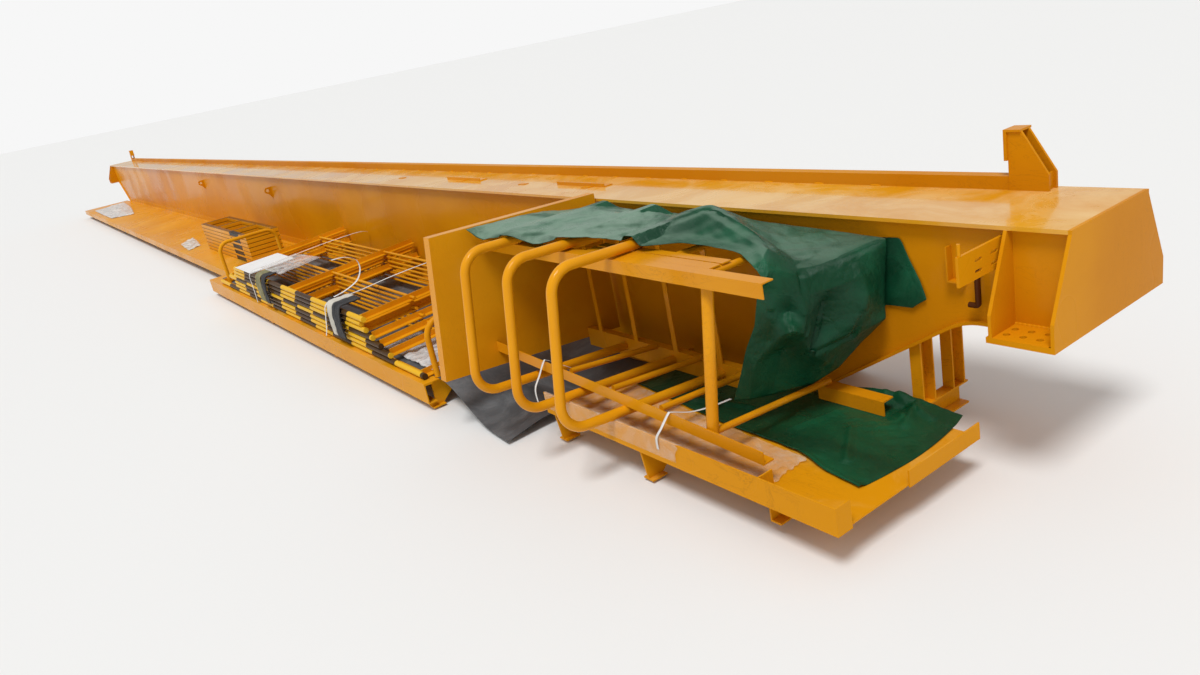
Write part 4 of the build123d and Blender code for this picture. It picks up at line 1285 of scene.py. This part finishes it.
@dataclass
class PackingFilm(Film):
    """Film that lies between two edges, each a line of points."""

    first: Sequence[Point] = ()
    second: Sequence[Point] = ()
    coarse: float = 9.0
    fine: float = 24.0
    fine_share: float = 0.6
    end_share: float = 0.125

    def place(self, share: float, across: float) -> Vector:
        """A point of the film, between the same shares of its edges."""
        point = along(self.first, share).lerp(along(self.second, share), across)
        fold = abs(noise.noise(point * self.coarse)) + self.fine_share * abs(noise.noise(point * self.fine))
        edge = 1.0 - min(1.0, min(share, 1.0 - share) / self.end_share)
        ragged = self.ragged * wander(share * 11.0, across * 9.0, 3.0) * edge
        return point + Vector((ragged, 0.0, self.crumple * fold))

    def run(self) -> float:
        """Length of the film's first edge, from end to end."""
        return (Vector(self.first[-1]) - Vector(self.first[0])).length


@dataclass
class EdgeFilm(Film):
    """Film stuck over the outer toe of the short tray, with a ragged slanting end.

    Its route goes round the toe, and it runs along the girder from its start.
    """

    route: Sequence[Point] = ()
    start: float = 8.312
    length: float = 0.955
    slant: float = 0.060
    outside: float = 0.35
    fine_share: float = 0.5
    upward: float = 0.4

    def place(self, share: float, across: float) -> Vector:
        """A point of the film, this share along the girder and this far round the toe."""
        point = along(self.route, across)
        point.x = self.start + (self.length - self.slant * across) * share
        fold = abs(wander(point.x * 16.0, across * 5.0, 1.0))
        fold += self.fine_share * abs(wander(point.x * 45.0, across * 12.0, 2.0))
        point.x += self.ragged * wander(across * 7.0, 4.0, 0.0) * last_tenth(share)
        out = 1.0 if across < self.outside else -1.0
        return point + Vector((0.0, out * self.crumple * fold, self.upward * self.crumple * fold))

    def run(self) -> float:
        """Length of the film along the girder."""
        return self.length


@dataclass
class Ribbon:
    """A flat strap, tie or pad that follows a path."""

    name: str
    path: Sequence[Point]
    width: float
    thickness: float = BAND_THICKNESS
    side: Point = (1.0, 0.0, 0.0)
    columns: int = 60
    rows: int = 3
    wobble: float = 0.0

    def place(self, share: float, across: float) -> Vector:
        """A point of the ribbon at this share of its path."""
        point = along(self.path, share) + Vector(self.side) * (self.width * (across - 0.5))
        lift = self.wobble * wander(point.x * 21.0, point.y * 17.0, point.z * 17.0)
        return point + Vector((lift, -abs(lift), abs(lift)))

    def build(self, finish: Finish, slot: Slot) -> Piece:
        """Model and dress the ribbon."""
        piece = Bench.grid(self.name, self.columns, self.rows, self.place)
        Bench.smooth(piece, FILM_ANGLE)
        Bench.thicken(piece, self.thickness)
        return dress(piece, finish, slot)


@dataclass
class Welds:
    """Tack welds along the rail's foot, beads under the flange's edges and beads in the seats' corners."""

    pitch: float = 0.30
    tack: Triple = (0.0065, 0.0065, 0.030)
    first_tack: float = 0.15
    ends: float = 0.2
    proud: float = 0.001
    leg: float = 0.006
    ripple: float = 0.12
    slow: float = 0.10
    long_turns: float = 410.0
    short_turns: float = 90.0
    long_steps: int = 1600
    short_steps: int = 160
    round_steps: int = 4

    def rail_tacks(self) -> Piece:
        """Tacks on both sides of the rail's foot, modelled once a side and repeated."""
        low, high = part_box("trolley_rail")
        count = int((high.x - low.x - self.ends) / self.pitch)
        rows = []
        for y in (low.y - self.proud, high.y + self.proud):
            Bench.clear()
            bpy.ops.mesh.primitive_uv_sphere_add(
                segments=8, ring_count=6, radius=1.0, location=(low.x + self.first_tack, y, low.z),
                rotation=(0.0, math.pi / 2, 0.0),
            )
            tack = bpy.context.object
            tack.scale = self.tack
            Bench.settle(tack)
            Bench.modify(
                tack, "ARRAY", count=count, use_relative_offset=False, use_constant_offset=True,
                constant_offset_displace=(self.pitch, 0.0, 0.0),
            )
            rows.append(tack)
        return self.dressed(Bench.join("rail_tack_welds", rows))

    @staticmethod
    def dressed(piece: Piece) -> Piece:
        """Round a bead and give it the girder's paint."""
        Bench.smooth(piece, ROUND_ANGLE)
        return dress(piece, PAINT_GIRDER, Slot.GIRDER)

    def bead(
        self, name: str, ends: Sequence[Vector], out: Vector, up: Vector, size: Ripple, steps: int
    ) -> Piece:
        """A rippled bead in the corner of two plates.

        Args:
            name: the bead's name.
            ends: the two ends of the corner.
            out: the way in which the bead stands out along the one plate.
            up: the way in which it stands out along the other plate.
            size: its size at a share of its run, as a part of the leg.
            steps: steps along its run.

        Returns:
            The bead, not yet dressed.
        """

        def place(share: float, around: float) -> Vector:
            """A point of the bead."""
            leg, angle = self.leg * size(share), around * math.pi / 2.0
            foot = ends[0].lerp(ends[1], share)
            return foot + out * (leg * math.cos(angle)) + up * (leg * math.sin(angle))

        return Bench.grid(name, steps, self.round_steps, place)

    def fillet(self, name: str, y: float, z: float, out: float) -> Piece:
        """A long bead under the top flange, along the girder.

        Args:
            name: the bead's name.
            y: the corner's place across the girder.
            z: the corner's height.
            out: 1 or -1, the way across in which the bead stands out.

        Returns:
            The bead.
        """
        low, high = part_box("bottom_flange")

        def size(share: float) -> float:
            """The bead's size, with even ripples and slow changes."""
            x = low.x + (high.x - low.x) * share
            return 1.0 + self.ripple * math.sin(x * self.long_turns) + self.slow * wander(x * 9.0, 0.0, 0.0)

        ends = (Vector((low.x, y, z)), Vector((high.x, y, z)))
        across, down = Vector((0.0, out, 0.0)), Vector((0.0, 0.0, -1.0))
        return self.dressed(self.bead(name, ends, across, down, size, self.long_steps))

    def seat(self, end: str, way: float) -> Piece:
        """Beads where the wing plates of one seat stand on its bored flange.

        Args:
            end: the seat's name, near or far.
            way: 1 for the near seat and -1 for the far one.

        Returns:
            The beads.
        """
        low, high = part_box(f"seat_flange_{end}")
        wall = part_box("web_walkway_side")[0].y
        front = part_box(f"end_plate_{end}")[0 if way > 0.0 else 1].x
        corner = Vector((front, wall, high.z))
        up = Vector((0.0, 0.0, 1.0))
        runs = (
            ((Vector((low.x, wall, high.z)), Vector((high.x, wall, high.z))), Vector((0.0, -1.0, 0.0))),
            ((Vector((front, low.y, high.z)), corner), Vector((-way, 0.0, 0.0))),
        )
        beads = [
            self.bead(f"seat_weld_{end}_{index}", ends, out, up, self.even, self.short_steps)
            for index, (ends, out) in enumerate(runs)
        ]
        return self.dressed(Bench.join(f"seat_welds_{end}", beads))

    def even(self, share: float) -> float:
        """Size of a short bead with even ripples."""
        return 1.0 + self.ripple * math.sin(share * self.short_turns)

    def build(self) -> None:
        """Add all the beads."""
        self.rail_tacks()
        outside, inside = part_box("web_walkway_side")[0].y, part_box("web_rail_side")[1].y
        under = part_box("top_flange")[0].z
        self.fillet("flange_weld_walkway_side", outside, under, -1.0)
        self.fillet("flange_weld_rail_side", inside, under, 1.0)
        self.seat("near", 1.0)
        self.seat("far", -1.0)


@dataclass
class Studio:
    """Pale floor, soft light and the camera at the photograph's view."""

    eye: Point = (11.575, -2.779, 1.741)
    forward: Point = (-0.7968, 0.5057, -0.3306)
    up: Point = (-0.1645, 0.3449, 0.9240)
    lens: float = 26.5
    sensor: float = 36.0
    reach: float = 200.0
    floor_size: float = 600.0
    floor_colour: Colour = (0.80, 0.80, 0.79)
    floor_roughness: float = 0.7
    sky_colour: Colour = (1.0, 1.0, 1.0)
    sky_strength: float = 0.55
    backdrop: Colour = (0.93, 0.93, 0.93)
    sun_strength: float = 2.1
    sun_size: float = 18.0
    sun_turn: Triple = (24.0, 15.0, 8.0)

    def camera(self) -> None:
        """Put the camera where the photographer stood."""
        data = bpy.data.cameras.new("photo_view")
        data.lens, data.sensor_width, data.clip_end = self.lens, self.sensor, self.reach
        camera = bpy.data.objects.new("photo_view", data)
        bpy.context.scene.collection.objects.link(camera)
        back = -Vector(self.forward).normalized()
        right = Vector(self.up).cross(back).normalized()
        up = back.cross(right)
        camera.matrix_world = Matrix.Translation(self.eye) @ Matrix((right, up, back)).transposed().to_4x4()
        bpy.context.scene.camera = camera

    def floor(self) -> None:
        """Lay the plain pale floor."""
        Bench.clear()
        bpy.ops.mesh.primitive_plane_add(size=self.floor_size, location=(0.0, 0.0, 0.0))
        piece = bpy.context.object
        piece.name = "studio_floor"
        material, _, shader = Finish("floor_pale", self.floor_colour).begin()
        shader.inputs["Base Color"].default_value = (*self.floor_colour, 1.0)
        shader.inputs["Roughness"].default_value = self.floor_roughness
        piece.data.materials.append(material)

    def sky(self) -> None:
        """Even light from all round, before a backdrop that only the camera sees."""
        world = bpy.data.worlds.new("studio")
        bpy.context.scene.world = world
        world.use_nodes = True
        world.node_tree.nodes.clear()
        tree = Tree(world.node_tree)
        choose = tree.add("ShaderNodeMixShader")
        tree.feed(choose.inputs[0], tree.add("ShaderNodeLightPath").outputs["Is Camera Ray"])
        for slot, colour, strength in ((1, self.sky_colour, self.sky_strength), (2, self.backdrop, 1.0)):
            shader = tree.add("ShaderNodeBackground")
            shader.inputs["Color"].default_value = (*colour, 1.0)
            shader.inputs["Strength"].default_value = strength
            tree.feed(choose.inputs[slot], shader.outputs[0])
        tree.feed(tree.add("ShaderNodeOutputWorld").inputs["Surface"], choose.outputs[0])

    def sun(self) -> None:
        """One wide soft lamp from high up."""
        sun = bpy.data.lights.new("soft_sun", "SUN")
        sun.energy = self.sun_strength
        sun.angle = math.radians(self.sun_size)
        lamp = bpy.data.objects.new("soft_sun", sun)
        lamp.rotation_euler = [math.radians(turn) for turn in self.sun_turn]
        bpy.context.scene.collection.objects.link(lamp)

    def build(self) -> None:
        """Set the whole studio."""
        self.camera()
        self.floor()
        self.sky()
        self.sun()
        bpy.context.scene.view_settings.view_transform = "Standard"


@dataclass
class Girder:
    """The CAD nodes and their finishes."""

    bar_start: float = 9.895
    bar_end: float = 9.946
    bar_top: float = 0.748
    railing_waves: float = 0.002

    def paint(self) -> None:
        """Give each node the finish of its slot."""
        finishes = {
            Slot.GIRDER: PAINT_GIRDER,
            Slot.WALKWAY: PAINT_WALKWAY,
            Slot.CAGE: PAINT_CAGE,
            Slot.SIGN: Plain("sign_board", (0.86, 0.86, 0.85), second=(0.80, 0.80, 0.80), roughness=0.35),
            Slot.MAT: Rubber("mat_spare", (0.105, 0.115, 0.13)),
            Slot.TARP: Tarpaulin("tarp_spare", (0.006, 0.062, 0.028)),
        }
        ready = {slot: finish.material() for slot, finish in finishes.items()}
        for row in frame["record"]["subparts"]:
            slot = Slot(row["material_slot"])
            node = frame["nodes"][row["node"]]
            material = self.railing(row["node"]) if slot is Slot.RAILING else ready[slot]
            node.data.materials.clear()
            node.data.materials.append(material)
        bar = {"bar_start": self.bar_start, "bar_end": self.bar_end, "bar_top": self.bar_top}
        special = {
            "trolley_rail": PAINT_RAIL,
            "top_flange": PAINT_FLANGE,
            "web_fittings": FittingsPaint("fittings_enamel", YELLOW, **bar),
        }
        for name, finish in special.items():
            frame["nodes"][name].data.materials[0] = finish.material()
        log.info("painted %d nodes", len(frame["nodes"]))

    def railing(self, name: str) -> Material:
        """The striped paint of one railing section, or the plain one of the other railing pieces."""
        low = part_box(name)[0]
        known = {"name": name + "_enamel", "colour": RAILING_YELLOW, "waves": self.railing_waves}
        if name == "far_railing_stack":
            return BundlePaint(**known, low=low.z, outer=low.y).material()
        if name.startswith("railing_"):
            return StripedPaint(**known, edge=low.y, start=low.x).material()
        return GlossPaint(**known).material()


@dataclass
class StackPacking:
    """Straps, pads and films on the stack of railings, and the film on the mat beside it.

    Shoulder_step and end_step are the steps of a strap's route at the stack's upper edge and at the web.
    """

    strap_width: float = 0.016
    loop_width: float = 0.022
    shoulder_step: float = 3.0
    end_step: float = 9.0
    pad_thickness: float = 0.008
    pad_fill: float = 0.3
    stack_lift: float = 0.004

    def __post_init__(self) -> None:
        """Read the stack's side and top and the tray's level from the frame."""
        low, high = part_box("railing_7")
        self.outside, self.top = low.y, high.z + self.stack_lift
        self.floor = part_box("edge_beam_wide")[1].z

    def strap(self, name: str, foot: float, shoulder: float, end: float) -> None:
        """A band from the tray's edge over the stack towards the web.

        Args:
            name: the strap's name.
            foot: its place along the girder at the tray's edge.
            shoulder: its place at the top of the stack's outer side.
            end: its place beside the web.
        """
        route = [
            (self.outside - 0.003, self.floor + 0.005), (self.outside - 0.005, self.floor + 0.07),
            (self.outside - 0.007, self.floor + 0.16), (self.outside - 0.005, self.top - 0.075),
            (self.outside + 0.05, self.top - 0.045), (-1.05, self.top - 0.045), (-0.80, self.top - 0.02),
            (-0.55, self.top - 0.005), (-0.30, self.top), (-0.225, self.top - 0.02),
        ]
        path = []
        for step, (y, z) in enumerate(route):
            rising = min(1.0, step / self.shoulder_step)
            crossing = max(0.0, (step - self.shoulder_step) / (self.end_step - self.shoulder_step))
            path.append((foot + (shoulder - foot) * rising + (end - shoulder) * crossing, y, z))
        Ribbon(name, path, self.strap_width, columns=90).build(STRAP_WHITE, Slot.SIGN)

    def pad(self, name: str, x: float, width: float, finish: Finish) -> None:
        """A folded cloth between a strap and the handrails' edge.

        Args:
            name: the pad's name.
            x: its middle along the girder.
            width: its width along the girder.
            finish: its finish.
        """
        path = [
            (x, self.outside - 0.016, self.floor + 0.07), (x, self.outside - 0.020, self.floor + 0.16),
            (x, self.outside - 0.004, self.top - 0.055), (x, self.outside + 0.05, self.top - 0.040),
            (x, self.outside + 0.15, self.top - 0.042),
        ]
        ribbon = Ribbon(name, path, width, self.pad_thickness, columns=40, rows=14, wobble=0.008)
        ribbon.build(finish, Slot.TARP)

    def loop(self) -> None:
        """The loose end of the near strap, standing up in a loop."""
        rises = [
            (6.08, -1.190, -0.034), (6.09, -1.110, -0.016), (6.09, -1.020, 0.022), (6.08, -0.975, 0.085),
            (6.08, -0.985, 0.150), (6.07, -1.050, 0.185), (6.06, -1.130, 0.190),
        ]
        path = [(x, y, self.top + rise) for x, y, rise in rises]
        Ribbon("strap_loop", path, self.loop_width).build(STRAP_WHITE, Slot.SIGN)

    def films(self) -> None:
        """The milky film beside the sign, and the film on the mat before the cage."""
        top, mat = self.top + 0.006, self.floor + 0.010
        PackingFilm(
            "stack_film", crumple=0.004, cover=0.34, tint=(0.80, 0.79, 0.80), ragged=0.004, columns=60,
            first=[(4.27, -0.86, top - 0.022), (4.52, -0.84, top - 0.020), (4.78, -0.82, top - 0.018)],
            second=[(4.29, -1.17, top - 0.043), (4.55, -1.17, top - 0.043), (4.82, -1.16, top - 0.043)],
        ).build("railing_7")
        PackingFilm(
            "mat_film", crumple=0.022, cover=0.42, tint=(0.72, 0.72, 0.76),
            first=[(6.50, -0.52, mat), (6.95, -0.48, mat), (7.42, -0.50, mat)],
            second=[(6.42, -1.13, mat), (6.90, -1.14, mat), (7.36, -1.15, mat)],
        ).build("walkway_floor_wide")

    def build(self) -> None:
        """Add all the packing of the stack."""
        self.strap("strap_far", 4.200, 4.240, 4.270)
        self.strap("strap_near", 5.860, 6.060, 6.170)
        self.pad("pad_far", 4.52, 0.13, PAD_OLIVE)
        self.pad("pad_far_black", 4.66, 0.09, PAD_BLACK)
        self.pad("pad_near_pale", 6.16, 0.08, PAD_PALE)
        self.pad("pad_near", 6.27, 0.12, PAD_BLACK)
        self.loop()
        self.films()


@dataclass
class TrayPacking:
    """Films and ties of the short tray, and the films on the far walkway."""

    tie_width: float = 0.012
    tray_lift: float = 0.004
    walkway_lift: float = 0.003

    def __post_init__(self) -> None:
        """Read the outer toe's face and top, and the levels of the two floors, from the frame."""
        low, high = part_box("near_tray_toe_outer")
        self.face, self.top = low.y, high.z
        self.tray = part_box("near_tray_floor")[1].z + self.tray_lift
        self.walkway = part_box("walkway_floor_far")[1].z + self.walkway_lift

    def tray_films(self) -> None:
        """The film on the short tray's floor, and the one stuck over its outer toe."""
        inner = [(8.32, -0.660), (8.63, -0.688), (9.03, -0.735), (9.30, -0.748), (9.57, -0.762)]
        outer = [(8.32, -1.036), (8.63, -1.036), (9.00, -1.036), (9.32, -1.034), (9.60, -1.030)]
        first, second = [[(x, y, self.tray) for x, y in edge] for edge in (inner, outer)]
        PackingFilm(
            "tray_film", cover=0.17, tint=(0.84, 0.58, 0.30), first=first, second=second
        ).build("near_tray_floor")
        round_toe = [
            (0.0115, -0.075), (0.0105, -0.020), (0.0075, 0.0030), (-0.0010, 0.0035), (-0.0040, -0.014),
            (-0.0042, -0.075),
        ]
        EdgeFilm(
            "toe_film", crumple=0.0022, cover=0.15, tint=(0.80, 0.60, 0.34), ragged=0.02, columns=150,
            rows=26, route=[(0.0, self.face + out, self.top + rise) for out, rise in round_toe],
        ).build("near_tray_toe_outer", held="draped")

    def walkway_films(self) -> None:
        """The white sheet and the small pale patch on the far walkway."""
        low = self.walkway
        PackingFilm(
            "walkway_film", cover=1.3, tint=(0.93, 0.92, 0.90),
            first=[(-9.25, -0.36, low), (-7.80, -0.44, low), (-6.15, -0.62, low)],
            second=[(-8.90, -0.95, low), (-7.60, -0.97, low), (-6.35, -0.97, low)],
        ).build("walkway_floor_far")
        PackingFilm(
            "walkway_paper", cover=0.9, tint=(0.90, 0.85, 0.74), columns=60, rows=24,
            first=[(-0.80, -0.72, low), (-0.35, -0.76, low), (0.06, -0.81, low)],
            second=[(-0.50, -0.93, low), (-0.15, -0.96, low), (0.22, -0.98, low)],
        ).build("walkway_floor_far")

    def tie(self, name: str, outside: Sequence[Point], inside: Sequence[Point]) -> None:
        """One white tie from the toe's outer face over the tube beside it.

        Args:
            name: the tie's name.
            outside: its first points, each with its place along the girder and its offsets from face and top.
            inside: its last points, each with its places along and across the girder and its offset from top.
        """
        path = [(x, self.face + out, self.top + rise) for x, out, rise in outside]
        path += [(x, y, self.top + rise) for x, y, rise in inside]
        Ribbon(name, path, self.tie_width).build(STRAP_WHITE, Slot.SIGN)

    def ties(self) -> None:
        """The two white ties between the outer toe and the tubes beside it."""
        self.tie(
            "tarp_tie", [(9.112, -0.006, -0.045), (9.116, -0.006, 0.004), (9.120, 0.020, 0.034)],
            [(9.124, -0.996, 0.078), (9.128, -0.980, 0.080), (9.140, -0.900, 0.050), (9.160, -0.810, 0.040),
             (9.188, -0.735, 0.047)],
        )
        self.tie(
            "foot_tie", [(8.246, -0.008, -0.060), (8.250, -0.008, 0.006), (8.254, 0.025, 0.060)],
            [(8.258, -0.996, 0.117), (8.264, -0.980, 0.119), (8.300, -0.932, 0.085), (8.352, -0.900, 0.062)],
        )

    def build(self) -> None:
        """Add the films and the ties."""
        self.tray_films()
        self.walkway_films()
        self.ties()


def main() -> None:
    """Build the whole scene."""
    logging.basicConfig(level=logging.INFO, format="%(message)s")
    Studio().build()
    Girder().paint()
    CageTarp().build()
    TrayTarp().build()
    FloorMat().build()
    TrayPacking().build()
    StackPacking().build()
    Welds().build()


if __name__ == "__main__":
    main()
